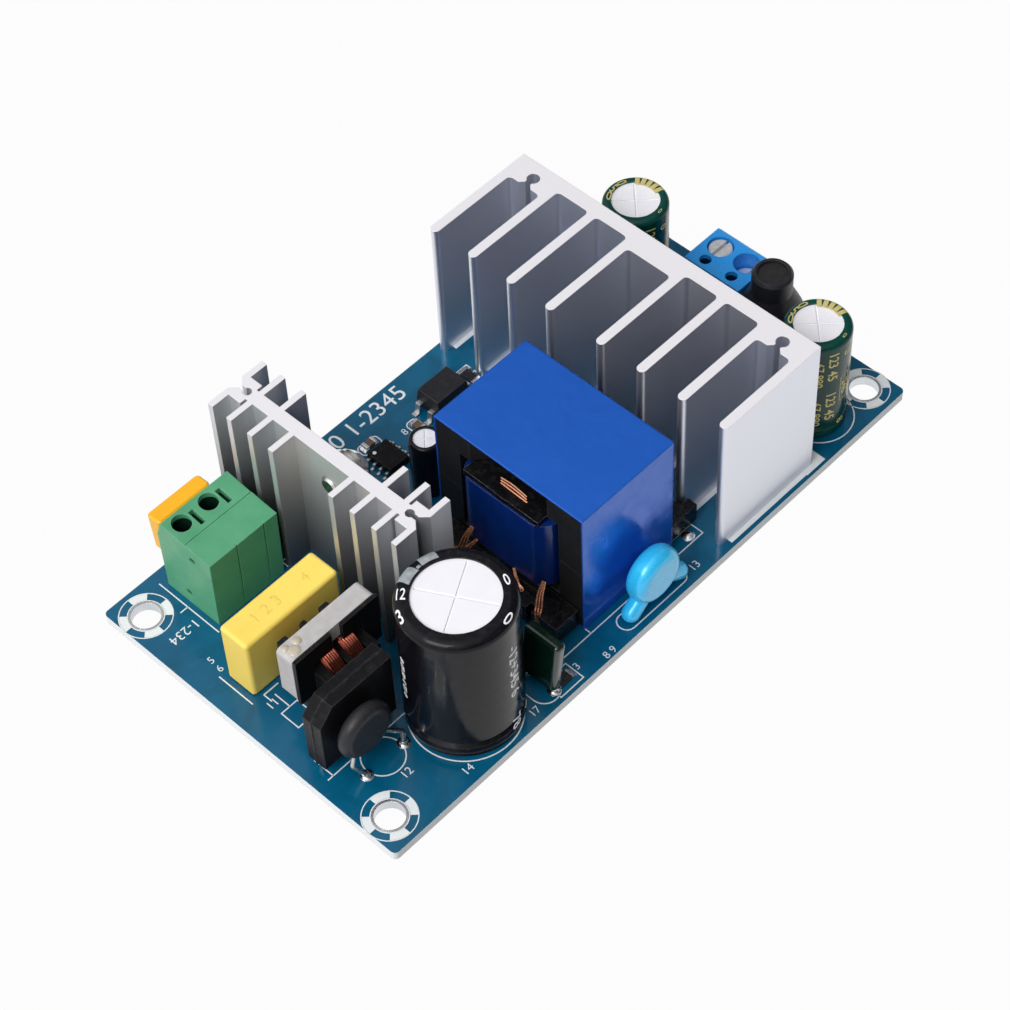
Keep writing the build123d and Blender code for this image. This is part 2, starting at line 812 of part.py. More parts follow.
# Large heatsink: thick fins with round noses on a stepped base
fin_places = [large_centre_y + side * offset for side in (-1, 1) for offset in large_fins]
fin_places.sort()
with BuildPart() as large_heatsink:
    with BuildSketch(Plane.XY.offset(deck)) as fin_profile:
        with Locations((large_face, large_centre_y)):
            Rectangle(large_base, large_length, align=(Align.MAX, Align.CENTER))
        with Locations((large_face, large_centre_y)):
            Rectangle(large_middle_base, 2 * large_fins[0], align=(Align.MAX, Align.CENTER))
        for side in (-1, 1):
            slot_start = large_fins[2]
            slot_end = large_length / 2
            with Locations((large_face, large_centre_y + side * (slot_start + slot_end) / 2)):
                Rectangle(large_end_base, slot_end - slot_start, align=(Align.MAX, Align.CENTER))
        for fin_y in fin_places:
            with Locations((large_nose + large_fin / 2, fin_y)):
                Rectangle(
                    large_face - large_nose - large_fin,
                    large_fin,
                    align=(Align.MIN, Align.CENTER),
                )
                Circle(large_fin / 2)
        roots = [
            corner
            for corner in fin_profile.vertices()
            if corner.X > large_face - large_end_base - 0.1 and corner.X < large_face - 0.1
        ]
        fillet(roots, large_root_round)
        for side in (-1, 1):
            channel_y = large_centre_y + side * (large_fins[2] + large_fins[3]) / 2
            mouth_x = large_face - large_end_base
            with Locations((large_channel_x, channel_y)):
                Circle(large_channel_radius, mode=Mode.SUBTRACT)
                Rectangle(
                    large_channel_x - mouth_x,
                    large_channel_neck,
                    align=(Align.MAX, Align.CENTER),
                    mode=Mode.SUBTRACT,
                )
            with BuildLine():
                Polyline(
                    (mouth_x, channel_y - large_mouth / 2),
                    (mouth_x, channel_y + large_mouth / 2),
                    (mouth_x + large_mouth_depth, channel_y + large_channel_neck / 2),
                    (mouth_x + large_mouth_depth, channel_y - large_channel_neck / 2),
                    close=True,
                )
            make_face(mode=Mode.SUBTRACT)
    extrude(amount=large_height)
    with Locations((large_face, large_centre_y, deck + rectifier_hole_height)):
        Cylinder(
            screw_radius + screw_fit,
            2 * (large_middle_base - 0.6),
            rotation=(0, 90, 0),
            mode=Mode.SUBTRACT,
        )
large_heatsink.part.label = "large_heatsink"
export_step(large_heatsink.part, "parts/large_heatsink.step")

# Solder posts pressed into the screw channels of both heatsinks
small_posts = [
    (web_mid, small_centre_y + side * (small_length / 2 - small_channel_depth)) for side in (-1, 1)
]
large_posts = [
    (large_channel_x, large_centre_y + side * (large_fins[2] + large_fins[3]) / 2) for side in (-1, 1)
]
with BuildPart() as heatsink_posts:
    for x, y in small_posts:
        lead(x, y, post_length, small_channel_radius - post_fit)
    for x, y in large_posts:
        lead(x, y, post_length, large_channel_radius - post_fit)
heatsink_posts.part.label = "heatsink_posts"
export_step(heatsink_posts.part, "parts/heatsink_posts.step")
joint_places += small_posts + large_posts


def transistor_tab(back_x, centre_y, hole_height):
    """Builds a stamped metal tab with its hole and the three legs of the same frame."""
    tab_top = hole_height + tab_hole_offset
    tab_bottom = tab_top - tab_height
    leg_x = back_x + tab_thickness + leg_offset
    with BuildPart() as tab:
        with BuildSketch(Plane.YZ.offset(back_x)):
            with Locations((centre_y, deck + tab_bottom)):
                Rectangle(package_width, tab_height, align=(Align.CENTER, Align.MIN))
            with Locations((centre_y, deck + hole_height)):
                Circle(tab_hole_radius, mode=Mode.SUBTRACT)
            for side in (-1, 1):
                with Locations((centre_y + side * package_width / 2, deck + tab_top - 4.6)):
                    Rectangle(2 * tab_step, 1.4, mode=Mode.SUBTRACT)
        extrude(amount=tab_thickness)
        for leg in (-1, 0, 1):
            with Locations((leg_x, centre_y + leg * package_pitch, deck)):
                Box(leg_thickness, leg_width, tab_bottom, align=(Align.CENTER, Align.CENTER, Align.MIN))
    return tab


def transistor_body(back_x, centre_y, hole_height):
    """Builds the moulded body in front of the tab, with drafted sides."""
    tab_bottom = hole_height + tab_hole_offset - tab_height
    with BuildPart() as body:
        with BuildSketch(Plane.YZ.offset(back_x + tab_thickness)):
            with Locations((centre_y, deck + tab_bottom)):
                Rectangle(package_width, package_body, align=(Align.CENTER, Align.MIN))
        extrude(amount=package_thickness - tab_thickness, taper=3)
        with Locations((back_x + package_thickness, centre_y, deck + tab_bottom + package_body - 1.8)):
            Cylinder(0.75, 0.4, rotation=(0, 90, 0), mode=Mode.SUBTRACT)
    return body


def pan_screw(face_x, centre_y, hole_height, length):
    """Builds a cross-slotted pan head screw along X, with a washer under its head."""
    seat = (face_x, centre_y, deck + hole_height)
    head_top = face_x + washer_thickness + screw_head_height
    with BuildPart() as screw:
        with BuildSketch(Plane(origin=seat, x_dir=(1, 0, 0), z_dir=(0, -1, 0))):
            with BuildLine():
                Polyline(
                    (-length, 0),
                    (-length, screw_radius - 0.3),
                    (0.3 - length, screw_radius),
                    (0, screw_radius),
                    (0, screw_head_radius + 0.5),
                    (washer_thickness, screw_head_radius + 0.5),
                    (washer_thickness, screw_head_radius),
                    (washer_thickness + 0.8, screw_head_radius),
                    (washer_thickness + screw_head_height * 0.85, screw_head_radius * 0.72),
                    (washer_thickness + screw_head_height, screw_head_radius * 0.35),
                    (washer_thickness + screw_head_height, 0),
                    close=True,
                )
            make_face()
        revolve(axis=Axis(seat, (1, 0, 0)))
        with Locations((head_top, centre_y, deck + hole_height)):
            Box(2 * recess_depth, recess_span, recess_width, mode=Mode.SUBTRACT)
            Box(2 * recess_depth, recess_width, recess_span, mode=Mode.SUBTRACT)
    return screw


# Switching transistor on the small heatsink
switch_back = small_web_x + small_web
switch_tab = transistor_tab(switch_back, switch_y, switch_hole_height)
switch_tab.part.label = "switch_transistor_tab"
export_step(switch_tab.part, "parts/switch_transistor_tab.step")
switch_body = transistor_body(switch_back, switch_y, switch_hole_height)
switch_body.part.label = "switch_transistor_body"
export_step(switch_body.part, "parts/switch_transistor_body.step")
switch_screw = pan_screw(
    switch_back + tab_thickness,
    switch_y,
    switch_hole_height,
    tab_thickness + small_web + switch_screw_proud,
)
switch_screw.part.label = "switch_transistor_screw"
export_step(switch_screw.part, "parts/switch_transistor_screw.step")
switch_leg_x = switch_back + tab_thickness + leg_offset
joint_places += [(switch_leg_x, switch_y + leg * package_pitch) for leg in (-1, 0, 1)]

# Output rectifier on the far face of the large heatsink, over an insulating pad
rectifier_back = large_face + pad_thickness
with BuildPart() as rectifier_pad:
    with BuildSketch(Plane.YZ.offset(large_face)):
        pad_top = rectifier_hole_height + tab_hole_offset + pad_margin
        with Locations((large_centre_y, deck + pad_top)):
            Rectangle(
                package_width + 2 * pad_margin,
                tab_height + 2 * pad_margin,
                align=(Align.CENTER, Align.MAX),
            )
        with Locations((large_centre_y, deck + rectifier_hole_height)):
            Circle(tab_hole_radius, mode=Mode.SUBTRACT)
    extrude(amount=pad_thickness)
rectifier_pad.part.label = "output_rectifier_pad"
export_step(rectifier_pad.part, "parts/output_rectifier_pad.step")
rectifier_tab = transistor_tab(rectifier_back, large_centre_y, rectifier_hole_height)
rectifier_tab.part.label = "output_rectifier_tab"
export_step(rectifier_tab.part, "parts/output_rectifier_tab.step")
rectifier_body = transistor_body(rectifier_back, large_centre_y, rectifier_hole_height)
rectifier_body.part.label = "output_rectifier_body"
export_step(rectifier_body.part, "parts/output_rectifier_body.step")
rectifier_screw = pan_screw(
    rectifier_back + tab_thickness, large_centre_y, rectifier_hole_height, rectifier_screw_length
)
rectifier_screw.part.label = "output_rectifier_screw"
export_step(rectifier_screw.part, "parts/output_rectifier_screw.step")
rectifier_leg_x = rectifier_back + tab_thickness + leg_offset
joint_places += [(rectifier_leg_x, large_centre_y + leg * package_pitch) for leg in (-1, 0, 1)]

# Transformer core: two equal halves that meet at mid height round the winding
core_base = deck + core_lift
core_mid = core_base + core_height / 2
window_half = core_height / 2 - core_plate


def core_half(direction):
    """Builds one core half: a notched plate, two curved legs and a round centre post."""
    outer_face = core_mid + direction * core_height / 2
    with BuildPart() as half:
        with BuildSketch(Plane.XY.offset(core_mid)):
            with Locations((core_x, core_y)):
                Rectangle(core_depth, core_length)
        extrude(amount=direction * core_height / 2)
        with BuildSketch(Plane.XY.offset(core_mid)):
            with Locations((core_x, core_y)):
                Circle(core_window_radius)
                Rectangle(core_depth + 1, core_opening)
                Circle(core_post_radius, mode=Mode.SUBTRACT)
        extrude(amount=direction * window_half, mode=Mode.SUBTRACT)
        with BuildSketch(Plane.XY.offset(outer_face)):
            for side in (-1, 1):
                edge_x = core_x + side * core_depth / 2
                with BuildLine():
                    Polyline(
                        (edge_x, core_y - core_notch_outer / 2),
                        (edge_x, core_y + core_notch_outer / 2),
                        (edge_x - side * core_notch, core_y + core_notch_inner / 2),
                        (edge_x - side * core_notch, core_y - core_notch_inner / 2),
                        close=True,
                    )
                make_face()
        extrude(amount=-direction * core_plate, mode=Mode.SUBTRACT)
    return half


for name, direction in (("transformer_core_upper", 1), ("transformer_core_lower", -1)):
    half = core_half(direction)
    half.part.label = name
    export_step(half.part, "parts/" + name + ".step")

# Transformer tape: a band round the core, over its top, its two ends and its underside
with BuildPart() as transformer_tape:
    with BuildSketch(Plane.YZ.offset(core_x - core_depth / 2 - 0.1)):
        with Locations((core_y, core_mid)):
            Rectangle(core_length + 2 * tape_wall, core_height + 2 * tape_wall)
            Rectangle(core_length, core_height, mode=Mode.SUBTRACT)
    extrude(amount=core_depth + 0.2)
transformer_tape.part.label = "transformer_tape"
export_step(transformer_tape.part, "parts/transformer_tape.step")

# Transformer bobbin: a tube with two flanges, arms out of both openings, and a slotted pin rail
# on each side that stands on two feet
flange_z = window_half - spool_fit
rail_x = core_depth / 2 + rail_gap + rail_depth / 2
pin_steps = [pin - (trafo_pins - 1) / 2 for pin in range(trafo_pins)]
slot_places = [core_y + (step + 0.5) * trafo_pin_pitch for step in pin_steps[:-1]]
with BuildPart() as transformer_bobbin:
    with BuildSketch(Plane.XY.offset(core_mid - flange_z)):
        with Locations((core_x, core_y)):
            Circle(spool_radius)
    extrude(amount=2 * flange_z)
    for start in (core_mid - flange_z, core_mid + flange_z - flange_thickness):
        with BuildSketch(Plane.XY.offset(start)):
            with Locations((core_x, core_y)):
                Circle(flange_radius)
                Rectangle(2 * flange_reach, flange_arm)
        extrude(amount=flange_thickness)
    for side in (-1, 1):
        outer = core_x + side * (rail_x + rail_depth / 2)
        with Locations((core_x + side * rail_x, core_y, deck + rail_foot)):
            Box(
                rail_depth,
                rail_length,
                rail_height - rail_foot,
                align=(Align.CENTER, Align.CENTER, Align.MIN),
            )
        link_start = core_depth / 2 + rail_gap
        with Locations((core_x + side * (flange_reach + link_start) / 2, core_y, deck + rail_foot)):
            Box(
                flange_reach - link_start,
                flange_arm,
                core_mid - flange_z + flange_thickness - deck - rail_foot,
                align=(Align.CENTER, Align.CENTER, Align.MIN),
            )
        for end in (-1, 1):
            foot_y = core_y + end * (rail_length - rail_foot_width) / 2
            with Locations((core_x + side * rail_x, foot_y, deck)):
                Box(
                    rail_depth,
                    rail_foot_width,
                    rail_foot,
                    align=(Align.CENTER, Align.CENTER, Align.MIN),
                )
        with Locations(*[(outer, slot_y, deck) for slot_y in slot_places]):
            Box(
                2 * rail_slot_depth,
                rail_slot_width,
                2 * rail_height + 1,
                mode=Mode.SUBTRACT,
            )
    with Locations((core_x, core_y, core_mid)):
        Cylinder(core_post_radius + spool_fit, core_height, mode=Mode.SUBTRACT)
transformer_bobbin.part.label = "transformer_bobbin"
export_step(transformer_bobbin.part, "parts/transformer_bobbin.step")

# Transformer winding under its outer tape, which fills both openings of the core
with BuildPart() as transformer_winding:
    with BuildSketch(Plane.XY.offset(core_mid - flange_z + flange_thickness)):
        with Locations((core_x, core_y)):
            Circle(winding_radius)
            RectangleRounded(2 * winding_radius, winding_bulge, winding_corner)
            Circle(spool_radius, mode=Mode.SUBTRACT)
    extrude(amount=2 * (flange_z - flange_thickness))
transformer_winding.part.label = "transformer_winding"
export_step(transformer_winding.part, "parts/transformer_winding.step")

# Transformer pins between the rails and the board
trafo_pin_places = [
    (core_x + side * trafo_pin_row, core_y + step * trafo_pin_pitch)
    for side in (-1, 1)
    for step in pin_steps
]
with BuildPart() as transformer_pins:
    for x, y in trafo_pin_places:
        lead(x, y, rail_foot, trafo_pin_radius)
transformer_pins.part.label = "transformer_pins"
export_step(transformer_pins.part, "parts/transformer_pins.step")
joint_places += trafo_pin_places

# Transformer lead wires: out of the winding, over the rail and down its slots, and three strands
# that cross the upper flange in the core's notch
wire_top = core_mid - flange_z + flange_thickness + 1.2
wire_down_x = core_x - rail_x - rail_depth / 2 + rail_slot_depth / 2
with BuildPart() as transformer_wires:
    for slot in trafo_wire_slots:
        slot_y = slot_places[slot]
        start_y = core_y + (slot_y - core_y) * 0.55
        start_x = core_x - winding_radius - trafo_wire_radius - 0.05
        with BuildLine() as route:
            FilletPolyline(
                (wire_down_x, slot_y, deck + 0.2),
                (wire_down_x, slot_y, deck + rail_height + trafo_wire_rise),
                (start_x, start_y, wire_top + 0.3),
                (start_x + 0.02, start_y, wire_top + 2.0),
                radius=0.45,
            )
        with BuildSketch(Plane.XY.offset(deck + 0.2)):
            with Locations((wire_down_x, slot_y)):
                Circle(trafo_wire_radius)
        sweep(path=route.line)
    for strand in range(3):
        strand_x = core_x - flange_reach + 0.5 + strand * 2.2 * trafo_wire_radius
        with Locations((strand_x, core_y + strand_shift, core_mid + flange_z + trafo_wire_radius)):
            Cylinder(trafo_wire_radius, strand_length, rotation=(90, 0, 0))
transformer_wires.part.label = "transformer_wires"
export_step(transformer_wires.part, "parts/transformer_wires.step")

# Disc capacitor: a lens with a lobe over each leg
with BuildPart() as isolation_capacitor:
    with BuildSketch(Plane.XZ.offset(-disc_y)):
        with Locations((disc_x, deck + disc_z)):
            Circle(disc_radius)
    extrude(amount=disc_thickness / 2, both=True)
    fillet(isolation_capacitor.edges().filter_by(GeomType.CIRCLE), 1.5)
    for leg_x in disc_legs:
        inward = disc_x + (leg_x - disc_x) * 0.45
        lobe_top = (inward, disc_y, deck + 3.6)
        lobe_base = (leg_x, disc_y, deck + disc_lobe_radius + 0.1)
        lobe_dir = Vector(*lobe_top) - Vector(*lobe_base)
        lobe_plane = Plane(origin=lobe_base, z_dir=lobe_dir)
        with BuildSketch(lobe_plane):
            Circle(disc_lobe_radius)
        extrude(amount=lobe_dir.length)
        with Locations(lobe_base):
            Sphere(disc_lobe_radius)
isolation_capacitor.part.label = "isolation_capacitor"
export_step(isolation_capacitor.part, "parts/isolation_capacitor.step")
joint_places += [(leg_x, disc_y) for leg_x in disc_legs]

# Dipped film capacitor, leaning a little
dipped_mid = (dipped_front + dipped_back) / 2
dipped_length = dipped_back - dipped_front
dipped_tilt = math.radians(dipped_lean)
dipped_plane = Plane(
    origin=(dipped_x, dipped_mid, deck + dipped_lift),
    x_dir=(math.cos(dipped_tilt), 0, -math.sin(dipped_tilt)),
    z_dir=(math.sin(dipped_tilt), 0, math.cos(dipped_tilt)),
)
with BuildPart() as dipped_capacitor:
    with BuildSketch(dipped_plane):
        RectangleRounded(dipped_thickness, dipped_length, 0.8)
    extrude(amount=dipped_top - dipped_lift)
    fillet(dipped_capacitor.faces().sort_by(Axis.Z)[-1].edges(), 0.7)
dipped_capacitor.part.label = "dipped_capacitor"
export_step(dipped_capacitor.part, "parts/dipped_capacitor.step")
dipped_legs = [(dipped_x, dipped_mid - dipped_pitch / 2), (dipped_x, dipped_mid + dipped_pitch / 2)]
with BuildPart() as dipped_capacitor_leads:
    for x, y in dipped_legs:
        lead(x, y, dipped_lift)
dipped_capacitor_leads.part.label = "dipped_capacitor_leads"
export_step(dipped_capacitor_leads.part, "parts/dipped_capacitor_leads.step")
joint_places += dipped_legs

# Control chip and optocoupler: moulded bodies with gull wing legs along X


def gull_wing_body(x, y, width, length, height, lift):
    """Builds a moulded body with drafted upper and lower halves."""
    with BuildPart() as body:
        with BuildSketch(Plane.XY.offset(deck + lift + height * 0.45)):
            with Locations((x, y)):
                Rectangle(width, length)
        extrude(amount=height * 0.55, taper=7)
        with BuildSketch(Plane.XY.offset(deck + lift + height * 0.45)):
            with Locations((x, y)):
                Rectangle(width, length)
        extrude(amount=-height * 0.45, taper=7)
    return body


def gull_wing_legs(x, y, width, height, lift, span, rows, leg_pitch, leg_width, thick):
    """Builds the bent legs on both sides of a moulded body."""
    exit_z = deck + lift + height * 0.45
    foot = (span - width) / 2
    with BuildPart() as legs:
        for side in (-1, 1):
            for row in range(rows):
                row_y = y + (row - (rows - 1) / 2) * leg_pitch - leg_width / 2
                near = x + side * width / 2
                with BuildSketch(Plane.XZ.offset(-row_y)):
                    with BuildLine():
                        Polyline(
                            (near, exit_z + thick / 2),
                            (near + side * foot * 0.45, exit_z + thick / 2),
                            (near + side * foot * 0.6, deck + thick),
                            (near + side * foot, deck + thick),
                            (near + side * foot, deck),
                            (near + side * (foot * 0.6 - thick), deck),
                            (near + side * (foot * 0.45 - thick), exit_z - thick / 2),
                            (near, exit_z - thick / 2),
                            close=True,
                        )
                    make_face()
                extrude(amount=-leg_width)
    return legs


control_chip = gull_wing_body(chip_x, chip_y, chip_width, chip_length, chip_height, chip_lift)
control_chip.part.label = "control_chip"
export_step(control_chip.part, "parts/control_chip.step")
control_legs = gull_wing_legs(
    chip_x,
    chip_y,
    chip_width,
    chip_height,
    chip_lift,
    chip_span,
    4,
    chip_pitch,
    chip_leg_width,
    chip_leg_thickness,
)
control_legs.part.label = "control_chip_leads"
export_step(control_legs.part, "parts/control_chip_leads.step")
optocoupler = gull_wing_body(opto_x, opto_y, opto_length, opto_width, opto_height, opto_lift)
optocoupler.part.label = "optocoupler"
export_step(optocoupler.part, "parts/optocoupler.step")
optocoupler_legs = gull_wing_legs(
    opto_x,
    opto_y,
    opto_length,
    opto_height,
    opto_lift,
    opto_span,
    2,
    package_pitch,
    opto_leg_width,
    opto_leg_thickness,
)
optocoupler_legs.part.label = "optocoupler_leads"
export_step(optocoupler_legs.part, "parts/optocoupler_leads.step")

# Chip resistors and chip capacitors: a bar between two end caps


def chip_parts(places, case):
    """Builds one bar with end caps for each place."""
    length, width, height = case
    with BuildPart() as group:
        for x, y, turn in places:
            with Locations(Location((x, y, deck), (0, 0, turn))):
                Box(
                    length - 2 * case_end,
                    width - 0.1,
                    height - 0.05,
                    align=(Align.CENTER, Align.CENTER, Align.MIN),
                )
                with Locations((case_end / 2 - length / 2, 0, 0), (length / 2 - case_end / 2, 0, 0)):
                    Box(case_end, width, height, align=(Align.CENTER, Align.CENTER, Align.MIN))
    return group


chip_resistors = chip_parts(chip_resistor_places, resistor_case)
chip_resistors.part.label = "chip_resistors"
export_step(chip_resistors.part, "parts/chip_resistors.step")
chip_capacitors = chip_parts(chip_capacitor_places, capacitor_case)
chip_capacitors.part.label = "chip_capacitors"
export_step(chip_capacitors.part, "parts/chip_capacitors.step")

# Output inductor: ferrite drum in a shrunk sleeve that necks in over its top
with BuildPart() as output_inductor_core:
    with Locations((drum_x, drum_y, deck + 0.4)):
        Cylinder(drum_core_radius, drum_top - 0.9, align=(Align.CENTER, Align.CENTER, Align.MIN))
output_inductor_core.part.label = "output_inductor_core"
export_step(output_inductor_core.part, "parts/output_inductor_core.step")

with BuildPart() as output_inductor_sleeve:
    with BuildSketch(Plane.XZ.offset(-drum_y)):
        with BuildLine():
            Polyline(
                (drum_x + drum_core_radius, deck),
                (drum_x + drum_radius - 0.4, deck),
                (drum_x + drum_radius, deck + 0.6),
                (drum_x + drum_radius, deck + drum_shoulder - 0.8),
                (drum_x + drum_radius - 0.35, deck + drum_shoulder),
                (drum_x + drum_neck_radius, deck + drum_neck_start),
                (drum_x + drum_neck_radius, deck + drum_top - 0.5),
                (drum_x + drum_neck_radius - 0.4, deck + drum_top),
                (drum_x + drum_core_radius + 0.1, deck + drum_top),
                (drum_x + drum_core_radius, deck + drum_top - 0.3),
                close=True,
            )
        make_face()
    revolve(axis=Axis((drum_x, drum_y, 0), (0, 0, 1)))
output_inductor_sleeve.part.label = "output_inductor_sleeve"
export_step(output_inductor_sleeve.part, "parts/output_inductor_sleeve.step")
joint_places += [(drum_x, drum_y - drum_pitch / 2), (drum_x, drum_y + drum_pitch / 2)]

# Output terminal housing: two wells for the screws, wire entries at the board edge, test holes
outlet_length = 2 * outlet_pitch + 2 * outlet_end
outlet_mid = outlet_near + outlet_length / 2
outlet_ways = [outlet_mid + side * outlet_pitch / 2 for side in (-1, 1)]
outlet_x = (outlet_left + outlet_right) / 2
cage_outer_width = outlet_entry + 2 * cage_wall
cage_bottom = deck + outlet_entry_bottom - cage_wall
cage_top = deck + outlet_entry_bottom + outlet_entry + cage_wall
with BuildPart() as output_terminal_housing:
    with Locations((outlet_x, outlet_mid, deck)):
        Box(
            outlet_right - outlet_left,
            outlet_length,
            outlet_height,
            align=(Align.CENTER, Align.CENTER, Align.MIN),
        )
    chamfer(output_terminal_housing.faces().sort_by(Axis.Z)[-1].edges().sort_by(Axis.X)[-1], 0.5)
    for way_y in outlet_ways:
        with Locations((outlet_well_x, way_y, cage_top)):
            Cylinder(
                outlet_well_radius,
                outlet_height,
                align=(Align.CENTER, Align.CENTER, Align.MIN),
                mode=Mode.SUBTRACT,
            )
        with Locations((outlet_well_x - cage_length / 2 - cage_fit, way_y, cage_bottom - cage_fit)):
            Box(
                outlet_right,
                cage_outer_width + 2 * cage_fit - 0.2,
                cage_top - cage_bottom + 2 * cage_fit,
                align=(Align.MIN, Align.CENTER, Align.MIN),
                mode=Mode.SUBTRACT,
            )
        with Locations((outlet_test_x, way_y, deck + outlet_height)):
            Cylinder(outlet_test_radius, 2 * 5.5, mode=Mode.SUBTRACT)
        with Locations((outlet_well_x, way_y, deck)):
            Box(1.0 + 2 * cage_fit, 0.8 + 2 * cage_fit, 2 * outlet_entry_bottom, mode=Mode.SUBTRACT)
output_terminal_housing.part.label = "output_terminal_housing"
export_step(output_terminal_housing.part, "parts/output_terminal_housing.step")

# Output terminal cages: a square tube under each screw, on a pin through the board
with BuildPart() as output_terminal_cages:
    for way_y in outlet_ways:
        with Locations((outlet_well_x, way_y, (cage_bottom + cage_top) / 2)):
            Box(cage_length, cage_outer_width - 0.2, cage_top - cage_bottom)
            Box(cage_length, outlet_entry - 0.2, outlet_entry, mode=Mode.SUBTRACT)
        with Locations((outlet_well_x, way_y, cage_top)):
            Cylinder(outlet_shank_radius + screw_fit, 2 * cage_wall + 0.4, mode=Mode.SUBTRACT)
        with Locations((outlet_well_x, way_y, deck)):
            Box(1.0, 0.8, cage_bottom - deck, align=(Align.CENTER, Align.CENTER, Align.MIN))
output_terminal_cages.part.label = "output_terminal_cages"
export_step(output_terminal_cages.part, "parts/output_terminal_cages.step")
joint_places += [(outlet_well_x, way_y) for way_y in outlet_ways]


def clamp_screw(way_y, top):
    """Builds a slotted clamp screw whose head top is at the height given."""
    with BuildPart() as screw:
        with BuildSketch(Plane.XZ.offset(-way_y)):
            with BuildLine():
                Polyline(
                    (outlet_well_x, top),
                    (outlet_well_x + outlet_head_radius - 0.15, top),
                    (outlet_well_x + outlet_head_radius, top - 0.15),
                    (outlet_well_x + outlet_head_radius, top - outlet_head_height),
                    (outlet_well_x + outlet_shank_radius, top - outlet_head_height),
                    (outlet_well_x + outlet_shank_radius, top - outlet_head_height - outlet_shank_length),
                    (outlet_well_x, top - outlet_head_height - outlet_shank_length),
                    close=True,
                )
            make_face()
        revolve(axis=Axis((outlet_well_x, way_y, 0), (0, 0, 1)))
        with Locations((outlet_well_x, way_y, top)):
            Box(2 * outlet_head_radius + 1, outlet_slot, 2 * outlet_slot_depth, mode=Mode.SUBTRACT)
    return screw


# The far screw stands nearly flush, the near one is driven down
screw_tops = {
    "output_terminal_screw_far": (outlet_ways[1], deck + outlet_raised_top),
    "output_terminal_screw_near": (outlet_ways[0], deck + outlet_raised_top - outlet_travel),
}
for name, (way_y, top) in screw_tops.items():
    screw = clamp_screw(way_y, top)
    screw.part.label = name
    export_step(screw.part, "parts/" + name + ".step")

# Solder joints: a fillet of solder round each trimmed lead under the board
with BuildPart() as solder_joints:
    with Locations(*[(x, y, 0) for x, y in joint_places]):
        Cone(
            joint_tip_radius,
            joint_radius,
            joint_height,
            align=(Align.CENTER, Align.CENTER, Align.MAX),
        )
solder_joints.part.label = "solder_joints"
export_step(solder_joints.part, "parts/solder_joints.step")
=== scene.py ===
"""Looks of an open frame mains power supply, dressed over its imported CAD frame."""

import logging
import math
from dataclasses import dataclass
from enum import Enum
from functools import cached_property
from typing import Iterable, Sequence

import bmesh
import bpy
from mathutils import Matrix, Vector


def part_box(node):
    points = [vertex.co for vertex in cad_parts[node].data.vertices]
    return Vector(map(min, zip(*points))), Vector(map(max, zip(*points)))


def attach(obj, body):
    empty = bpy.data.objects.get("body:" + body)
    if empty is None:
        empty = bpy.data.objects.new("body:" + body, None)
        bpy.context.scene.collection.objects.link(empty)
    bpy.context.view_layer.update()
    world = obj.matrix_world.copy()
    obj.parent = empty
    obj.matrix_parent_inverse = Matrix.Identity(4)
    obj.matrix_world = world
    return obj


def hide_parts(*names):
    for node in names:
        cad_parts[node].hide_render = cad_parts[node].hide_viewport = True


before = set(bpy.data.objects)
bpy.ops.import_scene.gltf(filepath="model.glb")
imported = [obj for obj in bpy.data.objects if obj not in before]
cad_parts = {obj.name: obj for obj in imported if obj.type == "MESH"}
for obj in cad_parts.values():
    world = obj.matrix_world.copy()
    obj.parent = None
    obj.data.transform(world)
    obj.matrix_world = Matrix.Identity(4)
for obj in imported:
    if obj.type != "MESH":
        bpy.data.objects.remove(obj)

# Lengths are in millimetres, and MM turns them into the frame's metres.
MM = 0.001
DECK = 1.6  # the board's upper face
INK = 0.03  # thickness of print and thin plating
PRINT_SPAN = 0.45  # longest edge of numbers that are bent
PRINT_BOLD = 0.012  # widening of numbers that are bent, as a share of their height
LEAST_MITRE = 0.4
SLEEVE_WALL = 0.25
SHOULDER_SHARE = 0.12  # of a sleeve's radius
CREASE = math.radians(40.0)
BODY = "supply"

Flat = tuple[float, float]
Point = tuple[float, float, float]
Colour = tuple[float, float, float]
Socket = bpy.types.NodeSocket

log = logging.getLogger("power_supply")


class Slot(Enum):
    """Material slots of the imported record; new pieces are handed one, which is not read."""

    BOARD = "board"
    SOLDER = "solder"
    COPPER = "enamelled_copper"
    GREEN_SLEEVE = "green_sleeve"
    BLACK_SLEEVE = "black_sleeve"
    YELLOW = "yellow_case"
    BLACK = "black_moulding"
    BLUE_TAPE = "blue_tape"
    FERRITE = "grey_ferrite"
    GREEN_CASE = "green_housing"
    BLUE_CASE = "blue_housing"


